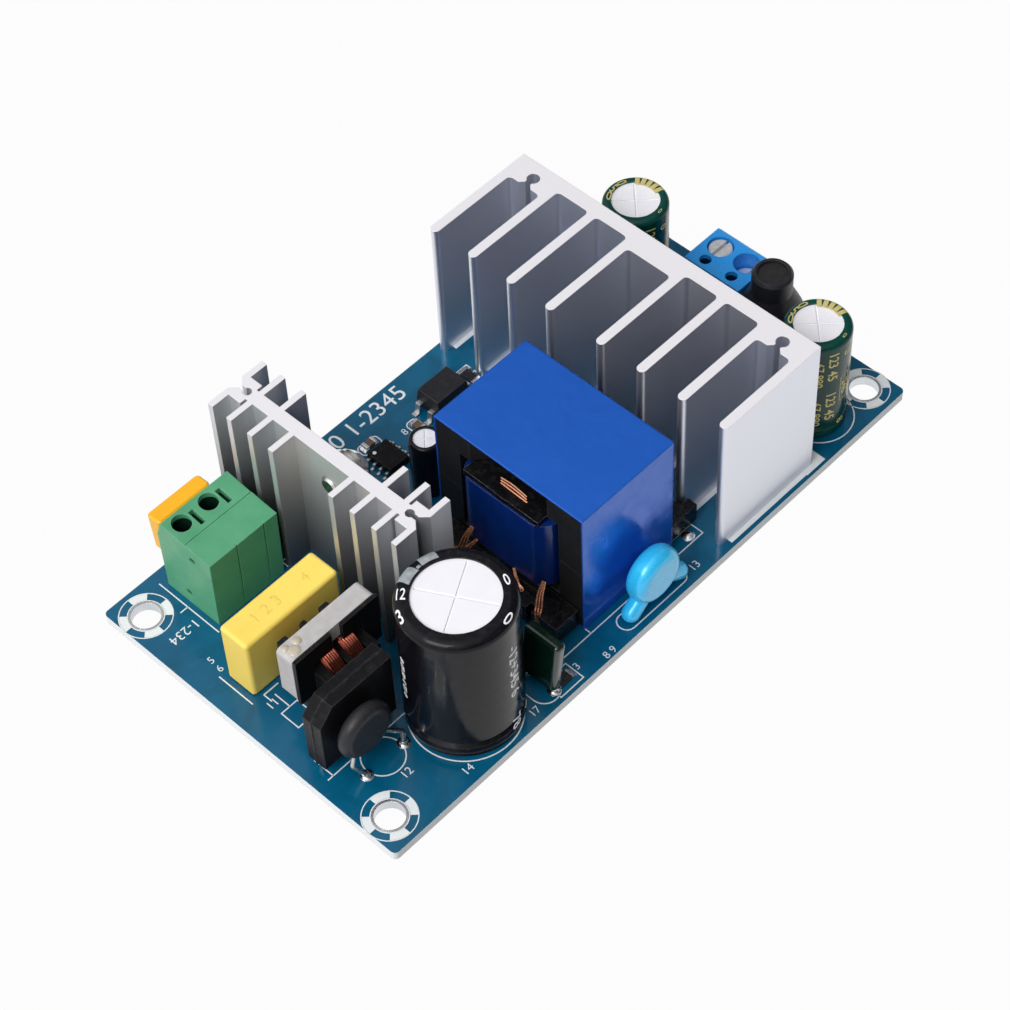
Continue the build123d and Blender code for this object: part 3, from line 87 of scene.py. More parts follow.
class Sheet:
    """A node tree with short calls that add nodes and join them."""

    def __init__(self, tree: bpy.types.NodeTree) -> None:
        """Keeps the tree that the calls work on."""
        self.tree = tree

    def add(self, kind: str, **settings: object) -> bpy.types.Node:
        """Adds a node.

        Args:
            kind: Blender's name of the node type.
            settings: Properties to set on it.

        Returns:
            The new node.
        """
        node = self.tree.nodes.new(kind)
        for key, value in settings.items():
            setattr(node, key, value)
        return node

    def put(self, socket: Socket, value: object) -> None:
        """Joins a socket to another socket, or gives it a plain value.

        Args:
            socket: The input to fill.
            value: The socket or value that it takes.
        """
        if isinstance(value, bpy.types.NodeSocket):
            self.tree.links.new(value, socket)
        elif isinstance(value, tuple) and socket.type == "RGBA":
            socket.default_value = (*value, 1.0)
        else:
            socket.default_value = value

    def read(self, kind: str, output: str) -> Socket:
        """Adds a node that takes no input and gives one of its outputs."""
        return self.add(kind).outputs[output]

    def fed(self, kind: str, values: Iterable[object], **settings: object) -> bpy.types.Node:
        """Adds a node and fills its inputs in order.

        Args:
            kind: Blender's name of the node type.
            values: What its inputs take.
            settings: Properties to set on it.

        Returns:
            The new node.
        """
        node = self.add(kind, **settings)
        for socket, value in zip(node.inputs, values):
            self.put(socket, value)
        return node

    def maths(self, operation: str, *values: object) -> Socket:
        """Adds a Math node.

        Args:
            operation: The node's operation.
            values: Its inputs, in order.

        Returns:
            The node's value socket.
        """
        return self.fed("ShaderNodeMath", values, operation=operation).outputs[0]

    def vector(self, operation: str, *values: object) -> bpy.types.Node:
        """Adds a Vector Math node.

        Args:
            operation: The node's operation.
            values: Its vector inputs, in order.

        Returns:
            The node.
        """
        return self.fed("ShaderNodeVectorMath", values, operation=operation)

    def mix(self, amount: object, first: object, second: object) -> Socket:
        """Mixes two colours.

        Args:
            amount: Share of the second colour.
            first: Colour at 0.
            second: Colour at 1.

        Returns:
            The mixed colour's socket.
        """
        node = self.add("ShaderNodeMix", data_type="RGBA")
        self.put(node.inputs[0], amount)
        self.put(node.inputs[6], first)
        self.put(node.inputs[7], second)
        return node.outputs[2]

    def between(self, value: object, source: Flat, target: Flat = (0.0, 1.0)) -> Socket:
        """Maps a value from one range to another and holds it inside.

        Args:
            value: The value to map.
            source: Lowest and highest value that comes in.
            target: What they become.

        Returns:
            The mapped value's socket.
        """
        return self.fed("ShaderNodeMapRange", (value, *source, *target)).outputs[0]

    def blend(self, share: object, first: Socket, second: Socket) -> Socket:
        """Mixes two shaders, with the share of the second."""
        return self.fed("ShaderNodeMixShader", (share, first, second)).outputs[0]

    def upward(self, vector: Socket) -> Socket:
        """Gives the Z part of a vector."""
        return self.fed("ShaderNodeSeparateXYZ", (vector,)).outputs["Z"]

    def group(self, tree: bpy.types.NodeTree, **values: object) -> bpy.types.Node:
        """Places a shared node group.

        Args:
            tree: The group.
            values: Its inputs by name, with _ for a space.

        Returns:
            The group's node.
        """
        node = self.add("ShaderNodeGroup", node_tree=tree)
        for name, value in values.items():
            self.put(node.inputs[name.replace("_", " ")], value)
        return node


class Effects:
    """The shader effects that several finishes share, each a node group built once."""

    @staticmethod
    def _start(name: str, inputs: dict[str, tuple[str, object]], outputs: dict[str, str]) -> tuple:
        """Starts a node group.

        Args:
            name: The group's name.
            inputs: Socket type and value for each input.
            outputs: Socket type of each output.

        Returns:
            The group, its sheet, its input node and its output node.
        """
        tree = bpy.data.node_groups.new(name, "ShaderNodeTree")
        for label, (kind, value) in inputs.items():
            socket = tree.interface.new_socket(name=label, in_out="INPUT", socket_type=kind)
            socket.default_value = value
        for label, kind in outputs.items():
            tree.interface.new_socket(name=label, in_out="OUTPUT", socket_type=kind)
        sheet = Sheet(tree)
        return tree, sheet, sheet.add("NodeGroupInput"), sheet.add("NodeGroupOutput")

    @cached_property
    def grain(self) -> bpy.types.NodeTree:
        """Noise in millimetres on the object, stretched as asked.

        Returns:
            The node group.
        """
        tree, sheet, source, result = self._start(
            "surface_grain",
            {
                "Scale": ("NodeSocketFloat", 1.0),
                "Detail": ("NodeSocketFloat", 3.0),
                "Stretch": ("NodeSocketVector", (1.0, 1.0, 1.0)),
            },
            {"Value": "NodeSocketFloat"},
        )
        place = sheet.read("ShaderNodeTexCoord", "Object")
        in_mm = sheet.vector("MULTIPLY", place, (1 / MM, 1 / MM, 1 / MM)).outputs[0]
        drawn = sheet.vector("MULTIPLY", in_mm, source.outputs["Stretch"]).outputs[0]
        noise = sheet.add("ShaderNodeTexNoise", noise_dimensions="3D")
        sheet.put(noise.inputs["Vector"], drawn)
        sheet.put(noise.inputs["Scale"], source.outputs["Scale"])
        sheet.put(noise.inputs["Detail"], source.outputs["Detail"])
        sheet.put(result.inputs["Value"], noise.outputs[0])
        return tree

    @cached_property
    def two_tone(self) -> bpy.types.NodeTree:
        """A base colour that drifts softly to a shade of it.

        Returns:
            The node group.
        """
        tree, sheet, source, result = self._start(
            "two_tone",
            {
                "Base": ("NodeSocketColor", (0.5, 0.5, 0.5, 1.0)),
                "Shade": ("NodeSocketColor", (0.4, 0.4, 0.4, 1.0)),
                "Scale": ("NodeSocketFloat", 0.2),
                "Spread": ("NodeSocketFloat", 0.2),
            },
            {"Color": "NodeSocketColor"},
        )
        clouds = sheet.group(self.grain, Scale=source.outputs["Scale"], Detail=4.0)
        low = sheet.maths("SUBTRACT", 0.5, source.outputs["Spread"])
        high = sheet.maths("ADD", 0.5, source.outputs["Spread"])
        span = sheet.maths("SUBTRACT", high, low)
        part = sheet.maths("DIVIDE", sheet.maths("SUBTRACT", clouds.outputs[0], low), span)
        held = sheet.between(part, (0.0, 1.0))
        mixed = sheet.mix(held, source.outputs["Base"], source.outputs["Shade"])
        sheet.put(result.inputs["Color"], mixed)
        return tree

    @cached_property
    def soft_edge(self) -> bpy.types.NodeTree:
        """Rounds sharp edges in the shading, and says how near an edge is, as a mask that tints edges partly
        as wear and partly as a painted highlight.

        Returns:
            The node group.
        """
        tree, sheet, source, result = self._start(
            "soft_edge",
            {"Radius": ("NodeSocketFloat", 0.1)},
            {"Normal": "NodeSocketVector", "Wear and Sheen": "NodeSocketFloat"},
        )
        radius = sheet.maths("MULTIPLY", source.outputs["Radius"], MM)
        bevel = sheet.add("ShaderNodeBevel", samples=4)
        sheet.put(bevel.inputs["Radius"], radius)
        flat = sheet.read("ShaderNodeNewGeometry", "Normal")
        turn = sheet.vector("DOT_PRODUCT", bevel.outputs[0], flat).outputs[1]
        # Edge mask broken up by noise: partly rubbed wear, partly a painted highlight along the edges.
        rubbed = sheet.group(self.grain, Scale=1.4, Detail=3.0).outputs[0]
        near = sheet.between(turn, (0.99, 0.85))
        wear_and_sheen = sheet.maths("MULTIPLY", near, sheet.between(rubbed, (0.35, 0.6), (0.3, 1.0)))
        sheet.put(result.inputs["Normal"], bevel.outputs[0])
        sheet.put(result.inputs["Wear and Sheen"], wear_and_sheen)
        return tree

    @cached_property
    def dust(self) -> bpy.types.NodeTree:
        """A thin broken film of dust on faces that look up.

        Returns:
            The node group.
        """
        tree, sheet, source, result = self._start(
            "dust_film", {"Amount": ("NodeSocketFloat", 0.1)}, {"Mask": "NodeSocketFloat"}
        )
        flat = sheet.read("ShaderNodeNewGeometry", "Normal")
        up = sheet.between(sheet.upward(flat), (0.2, 1.0))
        specks = sheet.group(self.grain, Scale=1.1, Detail=8.0).outputs[0]
        broken = sheet.between(specks, (0.5, 0.75))
        mask = sheet.maths("MULTIPLY", sheet.maths("MULTIPLY", up, broken), source.outputs["Amount"])
        sheet.put(result.inputs["Mask"], mask)
        return tree

    @cached_property
    def cut_ends(self) -> bpy.types.NodeTree:
        """A mask of the faces that look up or down, such as sawn ends or a board's faces.

        Returns:
            The node group.
        """
        tree, sheet, _, result = self._start("cut_ends", {}, {"Mask": "NodeSocketFloat"})
        flat = sheet.read("ShaderNodeNewGeometry", "True Normal")
        height = sheet.maths("ABSOLUTE", sheet.upward(flat))
        sheet.put(result.inputs["Mask"], sheet.between(height, (0.6, 0.8)))
        return tree


EFFECTS = Effects()


@dataclass(frozen=True)
class Finish:
    """One surface finish with its grain, edges tinted partly as wear and partly as a painted highlight, and
    dust.

    Lengths are in millimetres and scales are per millimetre.
    """

    name: str
    colour: Colour
    shade: Colour
    roughness: float
    swing: float = 0.08
    metallic: float = 0.0
    specular: float = 0.5
    coat: float = 0.0
    cloud_scale: float = 0.3
    cloud_spread: float = 0.25
    grain_scale: float = 3.0
    grain_height: float = 0.01
    stretch: Point = (1.0, 1.0, 1.0)
    edge_radius: float = 0.12
    # Lighter colour mixed into the edges, partly as wear and partly as a painted highlight.
    edge_wear_and_sheen_colour: Colour = (0.8, 0.8, 0.8)
    edge_wear_and_sheen_share: float = 0.15
    # Emission strength; above 0 it paints light on the surface, which glows though it is no lamp.
    painted_glow: float = 0.0
    dust: float = 0.02
    dust_colour: Colour = (0.6, 0.58, 0.55)

    def _start(self) -> tuple[bpy.types.Material, Sheet, bpy.types.Node]:
        """Makes the empty material.

        Returns:
            The material, its sheet and its Principled node.
        """
        material = bpy.data.materials.new(self.name)
        material.use_nodes = True
        sheet = Sheet(material.node_tree)
        shader = next(n for n in material.node_tree.nodes if n.type == "BSDF_PRINCIPLED")
        shader.inputs["Specular IOR Level"].default_value = self.specular
        shader.inputs["Coat Weight"].default_value = self.coat
        shader.inputs["Coat Roughness"].default_value = 0.05
        return material, sheet, shader

    def _tone(self, sheet: Sheet) -> Socket:
        """Gives the colour before the edges' wear and painted highlight, and before dust."""
        drift = {"Scale": self.cloud_scale, "Spread": self.cloud_spread}
        return sheet.group(EFFECTS.two_tone, Base=self.colour, Shade=self.shade, **drift).outputs[0]

    def _relief(self, sheet: Sheet) -> Socket:
        """Gives the fine relief as a value from 0 to 1."""
        grain = sheet.group(EFFECTS.grain, Scale=self.grain_scale, Detail=4.0, Stretch=self.stretch)
        return grain.outputs[0]

    def _metal(self, sheet: Sheet) -> object:
        """Gives how metallic it is."""
        return self.metallic

    def _gloss(self, sheet: Sheet, relief: Socket) -> Socket:
        """Gives the roughness from the relief."""
        return sheet.between(relief, (0.3, 0.7), (self.roughness - self.swing, self.roughness + self.swing))

    @cached_property
    def material(self) -> bpy.types.Material:
        """The finished material, built once.

        Returns:
            The material.
        """
        material, sheet, shader = self._start()
        relief = self._relief(sheet)
        edge = sheet.group(EFFECTS.soft_edge, Radius=self.edge_radius)
        # Painted highlight and wear: the edges are mixed toward a lighter colour.
        wear_and_sheen = sheet.maths("MULTIPLY", edge.outputs["Wear and Sheen"], self.edge_wear_and_sheen_share)
        worn_and_sheened = sheet.mix(wear_and_sheen, self._tone(sheet), self.edge_wear_and_sheen_colour)
        film = sheet.group(EFFECTS.dust, Amount=self.dust).outputs[0]
        sheet.put(shader.inputs["Base Color"], sheet.mix(film, worn_and_sheened, self.dust_colour))
        # Painted light: the surface glows by emission, though it is no lamp.
        if self.painted_glow:
            sheet.put(shader.inputs["Emission Color"], self.colour)
            shader.inputs["Emission Strength"].default_value = self.painted_glow
        sheet.put(shader.inputs["Roughness"], self._gloss(sheet, relief))
        sheet.put(shader.inputs["Metallic"], self._metal(sheet))
        bump = sheet.add("ShaderNodeBump")
        sheet.put(bump.inputs["Height"], relief)
        sheet.put(bump.inputs["Distance"], self.grain_height * MM)
        sheet.put(bump.inputs["Normal"], edge.outputs["Normal"])
        sheet.put(shader.inputs["Normal"], bump.outputs[0])
        return material


@dataclass(frozen=True)
class Extrusion(Finish):
    """Extruded aluminium: die lines up its sides, pale sawn ends and, where asked, painted shade that
    darkens the foot of its sides.
    """

    cut_colour: Colour = (0.93, 0.91, 0.95)
    cut_roughness: float = 0.45
    cut_metal: float = 0.2
    # Share of the colour kept at the foot of the sides, and the heights in millimetres over which that fades
    # out: below 1 this paints shade low on the sides.
    foot: float = 1.0
    foot_shade_heights: Flat = (3.0, 25.0)

    @staticmethod
    def _parted(sheet: Sheet, side: Socket, end: object) -> Socket:
        """Gives one value on the sides and another on the sawn ends.

        Args:
            sheet: The material's sheet.
            side: The sides' value.
            end: The ends' value.

        Returns:
            The joined value's socket.
        """
        ends = sheet.group(EFFECTS.cut_ends).outputs[0]
        kept = sheet.maths("MULTIPLY", side, sheet.maths("SUBTRACT", 1.0, ends))
        return sheet.maths("ADD", kept, sheet.maths("MULTIPLY", end, ends))

    def _metal(self, sheet: Sheet) -> Socket:
        """Gives bright metal sides and ends whose saw marks scatter light as paint does."""
        ends = sheet.group(EFFECTS.cut_ends).outputs[0]
        return sheet.between(ends, (0.0, 1.0), (self.metallic, self.cut_metal))

    def _tone(self, sheet: Sheet) -> Socket:
        """Gives streaked sides, darkened towards their foot by painted shade where asked, and pale ends.

        Args:
            sheet: The material's sheet.

        Returns:
            The colour's socket.
        """
        streaks = sheet.group(EFFECTS.grain, Scale=1.6, Detail=3.0, Stretch=(1.0, 1.0, 0.02)).outputs[0]
        sides = sheet.mix(sheet.between(streaks, (0.2, 0.8)), self.colour, self.shade)
        # Painted shade: the sides darken towards the bottom, as if shadowed by the parts round them.
        if self.foot < 1.0:
            height = sheet.upward(sheet.read("ShaderNodeTexCoord", "Object"))
            reach = (self.foot_shade_heights[0] * MM, self.foot_shade_heights[1] * MM)
            painted_shade = sheet.between(height, reach, (1.0, 0.0))
            sides = sheet.mix(painted_shade, sides, tuple(self.foot * part for part in self.colour))
        ends = sheet.group(EFFECTS.cut_ends).outputs[0]
        return sheet.mix(ends, sides, self.cut_colour)

    def _relief(self, sheet: Sheet) -> Socket:
        """Gives die lines on the sides and saw lines on the ends.

        Args:
            sheet: The material's sheet.

        Returns:
            The relief's socket.
        """
        die = sheet.group(EFFECTS.grain, Scale=4.0, Detail=2.0, Stretch=(1.0, 1.0, 0.01)).outputs[0]
        saw = sheet.group(EFFECTS.grain, Scale=2.5, Detail=3.0, Stretch=(1.0, 0.12, 1.0)).outputs[0]
        return self._parted(sheet, die, saw)

    def _gloss(self, sheet: Sheet, relief: Socket) -> Socket:
        """Gives smoother sides and duller ends."""
        return self._parted(sheet, Finish._gloss(self, sheet, relief), self.cut_roughness)


@dataclass(frozen=True)
class BoardFinish(Finish):
    """Gloss solder mask over copper on both faces, with the pale laminate on the sawn edges."""

    laminate: Colour = (0.88, 0.92, 0.95)
    pour_shade: Colour = (0.0, 0.07, 0.13)

    def _tone(self, sheet: Sheet) -> Socket:
        """Gives the mask's colour with faint copper areas, and the edge's laminate.

        Args:
            sheet: The material's sheet.

        Returns:
            The colour's socket.
        """
        mask = Finish._tone(self, sheet)
        place = sheet.read("ShaderNodeTexCoord", "Object")
        in_mm = sheet.vector("MULTIPLY", place, (1 / MM, 1 / MM, 0.0)).outputs[0]
        cells = sheet.add("ShaderNodeTexVoronoi", feature="DISTANCE_TO_EDGE")
        sheet.put(cells.inputs["Vector"], in_mm)
        sheet.put(cells.inputs["Scale"], 0.07)
        gap = sheet.between(cells.outputs[0], (0.03, 0.045), (0.3, 0.0))
        toned = sheet.mix(gap, mask, self.pour_shade)
        faces = sheet.group(EFFECTS.cut_ends).outputs[0]
        return sheet.mix(faces, self.laminate, toned)


class Finishes:
    """Every finish of the power supply, by what it is on."""

    board = BoardFinish(
        "board_mask", (0.003, 0.115, 0.225), (0.0, 0.085, 0.175), 0.18, specular=0.35, coat=0.15,
        grain_height=0.004, dust=0.0,
    )
    silk = Finish(
        "white_print", (0.86, 0.88, 0.9), (0.78, 0.82, 0.85), 0.55, grain_height=0.004, edge_wear_and_sheen_share=0.0,
    )
    plating = Finish(
        "tinned_ring", (0.72, 0.74, 0.76), (0.55, 0.58, 0.62), 0.28, metallic=1.0, grain_scale=1.5,
        grain_height=0.03,
    )
    solder = Finish(
        "solder", (0.78, 0.78, 0.8), (0.6, 0.6, 0.63), 0.2, metallic=1.0, grain_scale=1.2, grain_height=0.05,
    )
    leads = Finish(
        "tinned_lead", (0.72, 0.71, 0.7), (0.5, 0.48, 0.46), 0.32, metallic=1.0, stretch=(1.0, 1.0, 0.1),
    )
    spring = Finish("spring_steel", (0.5, 0.44, 0.36), (0.3, 0.26, 0.2), 0.35, metallic=1.0)
    green = Finish(
        "green_moulding", (0.1, 0.38, 0.2), (0.07, 0.32, 0.16), 0.42, grain_scale=4.0, grain_height=0.012,
        edge_radius=0.18, edge_wear_and_sheen_colour=(0.3, 0.62, 0.42), edge_wear_and_sheen_share=0.5,
    )
    orange = Finish(
        "orange_moulding", (1.0, 0.5, 0.01), (0.96, 0.44, 0.01), 0.36, edge_wear_and_sheen_colour=(1.0, 0.68, 0.1),
        edge_wear_and_sheen_share=0.4,
    )
    yellow = Finish(
        "yellow_moulding", (0.98, 0.75, 0.14), (0.95, 0.7, 0.12), 0.4, grain_scale=2.0, grain_height=0.02,
        edge_radius=0.3, edge_wear_and_sheen_colour=(0.95, 0.76, 0.25), edge_wear_and_sheen_share=0.4,
    )
    ferrite = Finish(
        "ground_ferrite", (0.56, 0.54, 0.54), (0.44, 0.42, 0.42), 0.45, cloud_scale=0.8, grain_scale=2.0,
        grain_height=0.02, edge_wear_and_sheen_share=0.3,
    )
    core = Finish("black_ferrite", (0.014, 0.014, 0.015), (0.008, 0.008, 0.009), 0.5, grain_height=0.02)
    moulding = Finish(
        "black_bobbin", (0.005, 0.005, 0.006), (0.003, 0.003, 0.004), 0.24, specular=0.35, edge_radius=0.15,
        edge_wear_and_sheen_colour=(0.3, 0.3, 0.31), edge_wear_and_sheen_share=0.5,
    )
    opto = Finish("opto_moulding", (0.018, 0.018, 0.021), (0.014, 0.014, 0.017), 0.4, specular=0.2)
    fine_copper = Finish("fine_copper", (0.95, 0.42, 0.24), (0.85, 0.33, 0.17), 0.25, metallic=0.6, coat=0.4)
    black = Finish(
        "black_moulding", (0.009, 0.009, 0.01), (0.006, 0.006, 0.007), 0.38, specular=0.15, grain_scale=4.0,
        grain_height=0.015, edge_wear_and_sheen_colour=(0.12, 0.12, 0.13), edge_wear_and_sheen_share=0.5,
    )
    epoxy = Finish(
        "black_epoxy", (0.009, 0.008, 0.01), (0.006, 0.006, 0.007), 0.42, specular=0.12, grain_scale=2.5,
        grain_height=0.02, edge_radius=0.2, edge_wear_and_sheen_colour=(0.16, 0.16, 0.17), edge_wear_and_sheen_share=0.5,
    )
    copper = Finish(
        "enamelled_copper", (0.5, 0.12, 0.06), (0.32, 0.06, 0.028), 0.2, metallic=0.9, coat=0.5,
        cloud_scale=0.8, grain_height=0.004,
    )
    can = Finish(
        "can_aluminium", (0.97, 0.96, 1.0), (0.93, 0.92, 0.98), 0.36, metallic=0.05, dust=0.0,
        grain_scale=2.0, stretch=(0.25, 1.0, 1.0), grain_height=0.006,
    )
    black_sleeve = Finish(
        "black_sleeve", (0.0065, 0.0065, 0.01), (0.004, 0.004, 0.006), 0.17, specular=0.18, coat=0.03,
        grain_scale=0.6, grain_height=0.03, edge_wear_and_sheen_share=0.1,
    )
    green_sleeve = Finish(
        "green_sleeve", (0.001, 0.07, 0.055), (0.001, 0.05, 0.042), 0.16, specular=0.25, coat=0.03,
        grain_scale=0.6, grain_height=0.03,
    )
    # Painted light: the sleeves' white print glows faintly.
    sleeve_print = Finish(
        "sleeve_print", (0.95, 0.96, 0.98), (0.86, 0.88, 0.9), 0.5, edge_wear_and_sheen_share=0.0, painted_glow=0.12,
    )
    grey_print = Finish(
        "grey_print", (0.46, 0.5, 0.53), (0.2, 0.22, 0.24), 0.5, cloud_scale=1.2, edge_wear_and_sheen_share=0.0,
    )
    # Painted light: the gold print glows faintly.
    gold = Finish(
        "gold_print", (0.68, 0.58, 0.22), (0.58, 0.48, 0.17), 0.4, metallic=0.2, edge_wear_and_sheen_share=0.0, painted_glow=0.08,
    )
    # Faint painted shade low on the sides, set by foot.
    extrusion = Extrusion(
        "extruded_aluminium", (0.78, 0.79, 0.86), (0.77, 0.78, 0.85), 0.42, swing=0.02, metallic=0.95,
        grain_height=0.0006, dust=0.0, foot=0.93,
    )
    # Strong painted shade low on the sides, set by foot.
    thin_extrusion = Extrusion(
        "thin_extruded_aluminium", (0.7, 0.71, 0.74), (0.66, 0.67, 0.7), 0.48, swing=0.02, metallic=0.8,
        grain_height=0.001, dust=0.0, foot=0.25,
    )
    zinc = Finish(
        "zinc_plate", (0.9, 0.9, 0.92), (0.62, 0.62, 0.65), 0.35, metallic=0.45, cloud_scale=1.6,
        grain_height=0.02,
    )
    shrink = Finish(
        "shrink_tube", (0.02, 0.019, 0.025), (0.015, 0.015, 0.019), 0.42, specular=0.3, edge_wear_and_sheen_share=0.1,
    )
    nickel = Finish(
        "nickel_plate", (0.8, 0.79, 0.77), (0.6, 0.59, 0.57), 0.2, metallic=1.0, grain_height=0.01,
    )
    tape = Finish(
        "blue_tape", (0.016, 0.135, 0.66), (0.014, 0.125, 0.62), 0.2, metallic=0.4, specular=0.4, dust=0.0,
        cloud_scale=0.12, grain_scale=0.35, grain_height=0.06, edge_radius=0.35,
        edge_wear_and_sheen_colour=(0.08, 0.2, 0.62), edge_wear_and_sheen_share=0.3,
    )
    winding_tape = Finish(
        "winding_tape", (0.003, 0.025, 0.18), (0.002, 0.018, 0.13), 0.2, specular=0.4, grain_scale=0.5,
        grain_height=0.12, stretch=(1.0, 1.0, 0.3),
    )
    # Painted light: the blue dip glows faintly.
    dip = Finish(
        "blue_dip", (0.035, 0.6, 1.0), (0.03, 0.54, 1.0), 0.26, metallic=0.1, coat=0.5, painted_glow=0.1,
        grain_scale=0.7, grain_height=0.06, edge_wear_and_sheen_share=0.0,
    )
    dark_dip = Finish(
        "dark_dip", (0.004, 0.024, 0.014), (0.003, 0.016, 0.01), 0.18, coat=0.6, grain_scale=0.6,
        grain_height=0.06, edge_wear_and_sheen_share=0.05,
    )
    thermistor = Finish(
        "thermistor_dip", (0.028, 0.028, 0.033), (0.02, 0.02, 0.023), 0.4, specular=0.3, grain_scale=1.5,
        grain_height=0.03, edge_wear_and_sheen_share=0.0,
    )
    ceramic = Finish("chip_ceramic", (0.16, 0.1, 0.06), (0.1, 0.06, 0.04), 0.5, edge_wear_and_sheen_share=0.1)
    resistive = Finish("chip_resistor", (0.012, 0.012, 0.014), (0.02, 0.02, 0.022), 0.3, edge_wear_and_sheen_share=0.1)
    pad = Finish("grey_pad", (0.4, 0.42, 0.45), (0.34, 0.36, 0.4), 0.6)
    blue = Finish(
        "blue_moulding", (0.025, 0.36, 0.92), (0.02, 0.32, 0.86), 0.32, grain_height=0.012, edge_radius=0.15,
        edge_wear_and_sheen_colour=(0.12, 0.42, 0.85), edge_wear_and_sheen_share=0.5,
    )
    glue = Finish(
        "clear_glue", (0.6, 0.56, 0.46), (0.42, 0.36, 0.24), 0.15, coat=0.8, grain_scale=1.0,
        grain_height=0.08,
    )
    # Painted shade: the dark insides of the terminals' holes and the shadow along the mains terminal's top.
    green_painted_shade = Finish(
        "green_painted_shade", (0.004, 0.03, 0.015), (0.002, 0.018, 0.009), 0.9, specular=0.05, edge_wear_and_sheen_share=0.0,
    )
    blue_painted_shade = Finish(
        "blue_painted_shade", (0.003, 0.03, 0.1), (0.002, 0.02, 0.07), 0.9, specular=0.05, edge_wear_and_sheen_share=0.0,
    )

    @classmethod
    def of_nodes(cls) -> dict[str, Finish]:
        """Gives the finish of each CAD node that stays in view.

        Returns:
            The finishes by node.
        """
        wearers = (
            (cls.board, ("circuit_board",)),
            (cls.green, ("input_terminal_housing",)),
            (cls.spring, ("input_terminal_springs",)),
            (cls.leads, (
                "input_terminal_pins", "input_fuse_leads", "line_capacitor_leads", "choke_pins",
                "bridge_rectifier_leads", "thermistor_leads", "heatsink_posts", "control_chip_leads",
                "optocoupler_leads", "transformer_pins", "dipped_capacitor_leads",
            )),
            (cls.orange, ("input_fuse",)),
            (cls.yellow, ("line_capacitor",)),
            (cls.ferrite, ("choke_core",)),
            (cls.black, ("choke_bobbin",)),
            (cls.epoxy, (
                "bridge_rectifier", "switch_transistor_body", "output_rectifier_body", "control_chip",
            )),
            (cls.thermistor, ("thermistor",)),
            (cls.can, (
                "bulk_capacitor_can", "auxiliary_capacitor_can", "output_capacitor_left_can",
                "output_capacitor_right_can",
            )),
            (cls.black_sleeve, ("bulk_capacitor_sleeve", "auxiliary_capacitor_sleeve")),
            (cls.green_sleeve, ("output_capacitor_left_sleeve", "output_capacitor_right_sleeve")),
            (cls.thin_extrusion, ("small_heatsink",)),
            (cls.extrusion, ("large_heatsink",)),
            (cls.nickel, (
                "switch_transistor_tab", "switch_transistor_screw", "output_rectifier_tab",
                "output_rectifier_screw", "output_terminal_cages",
            )),
            (cls.pad, ("output_rectifier_pad",)),
            (cls.opto, ("optocoupler",)),
            (cls.core, ("transformer_core_upper", "transformer_core_lower", "output_inductor_core")),
            (cls.moulding, ("transformer_bobbin",)),
            (cls.winding_tape, ("transformer_winding",)),
            (cls.tape, ("transformer_tape",)),
            (cls.copper, ("transformer_wires",)),
            (cls.dip, ("isolation_capacitor",)),
            (cls.dark_dip, ("dipped_capacitor",)),
            (cls.resistive, ("chip_resistors",)),
            (cls.ceramic, ("chip_capacitors",)),
            (cls.shrink, ("output_inductor_sleeve",)),
            (cls.blue, ("output_terminal_housing",)),
            (cls.zinc, ("output_terminal_screw_far", "output_terminal_screw_near")),
        )
        return {node: finish for finish, nodes in wearers for node in nodes}


def polar(centre: Sequence[float], radius: float, angle: float) -> Flat:
    """Gives the point at a radius and an angle in radians round a middle."""
    return centre[0] + radius * math.cos(angle), centre[1] + radius * math.sin(angle)


def spawn(name: str, data: bpy.types.ID) -> bpy.types.Object:
    """Puts a new object into the scene.

    Args:
        name: Its name.
        data: Its mesh, text, camera or lamp.

    Returns:
        The object.
    """
    made = bpy.data.objects.new(name, data)
    bpy.context.scene.collection.objects.link(made)
    return made


def corners_of(node: str) -> list[Vector]:
    """Gives the corners of a CAD node in millimetres."""
    return [vertex.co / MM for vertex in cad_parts[node].data.vertices]


def extent(corners: Sequence[Vector]) -> tuple[list[float], list[float]]:
    """Gives the lowest and the highest corner of the box round some corners."""
    return [min(part) for part in zip(*corners)], [max(part) for part in zip(*corners)]


def grouped(corners: Iterable[Vector], reach: float) -> list[list[Vector]]:
    """Sorts corners into groups that stand apart when seen from above.

    Args:
        corners: The corners.
        reach: Distance from a group's first corner under which a corner belongs to it.

    Returns:
        The groups.
    """
    found: list[list[Vector]] = []
    for corner in corners:
        home = next((group for group in found if (group[0].xy - corner.xy).length < reach), None)
        if home is None:
            found.append([corner])
        else:
            home.append(corner)
    return found


@dataclass
class Place:
    """The box of a CAD node, in millimetres."""

    node: str

    def __post_init__(self) -> None:
        """Reads the box from the frame."""
        low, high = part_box(self.node)
        self.low = low / MM
        self.high = high / MM
        self.centre = (self.low + self.high) / 2
        self.radius = (self.high.x - self.low.x) / 2


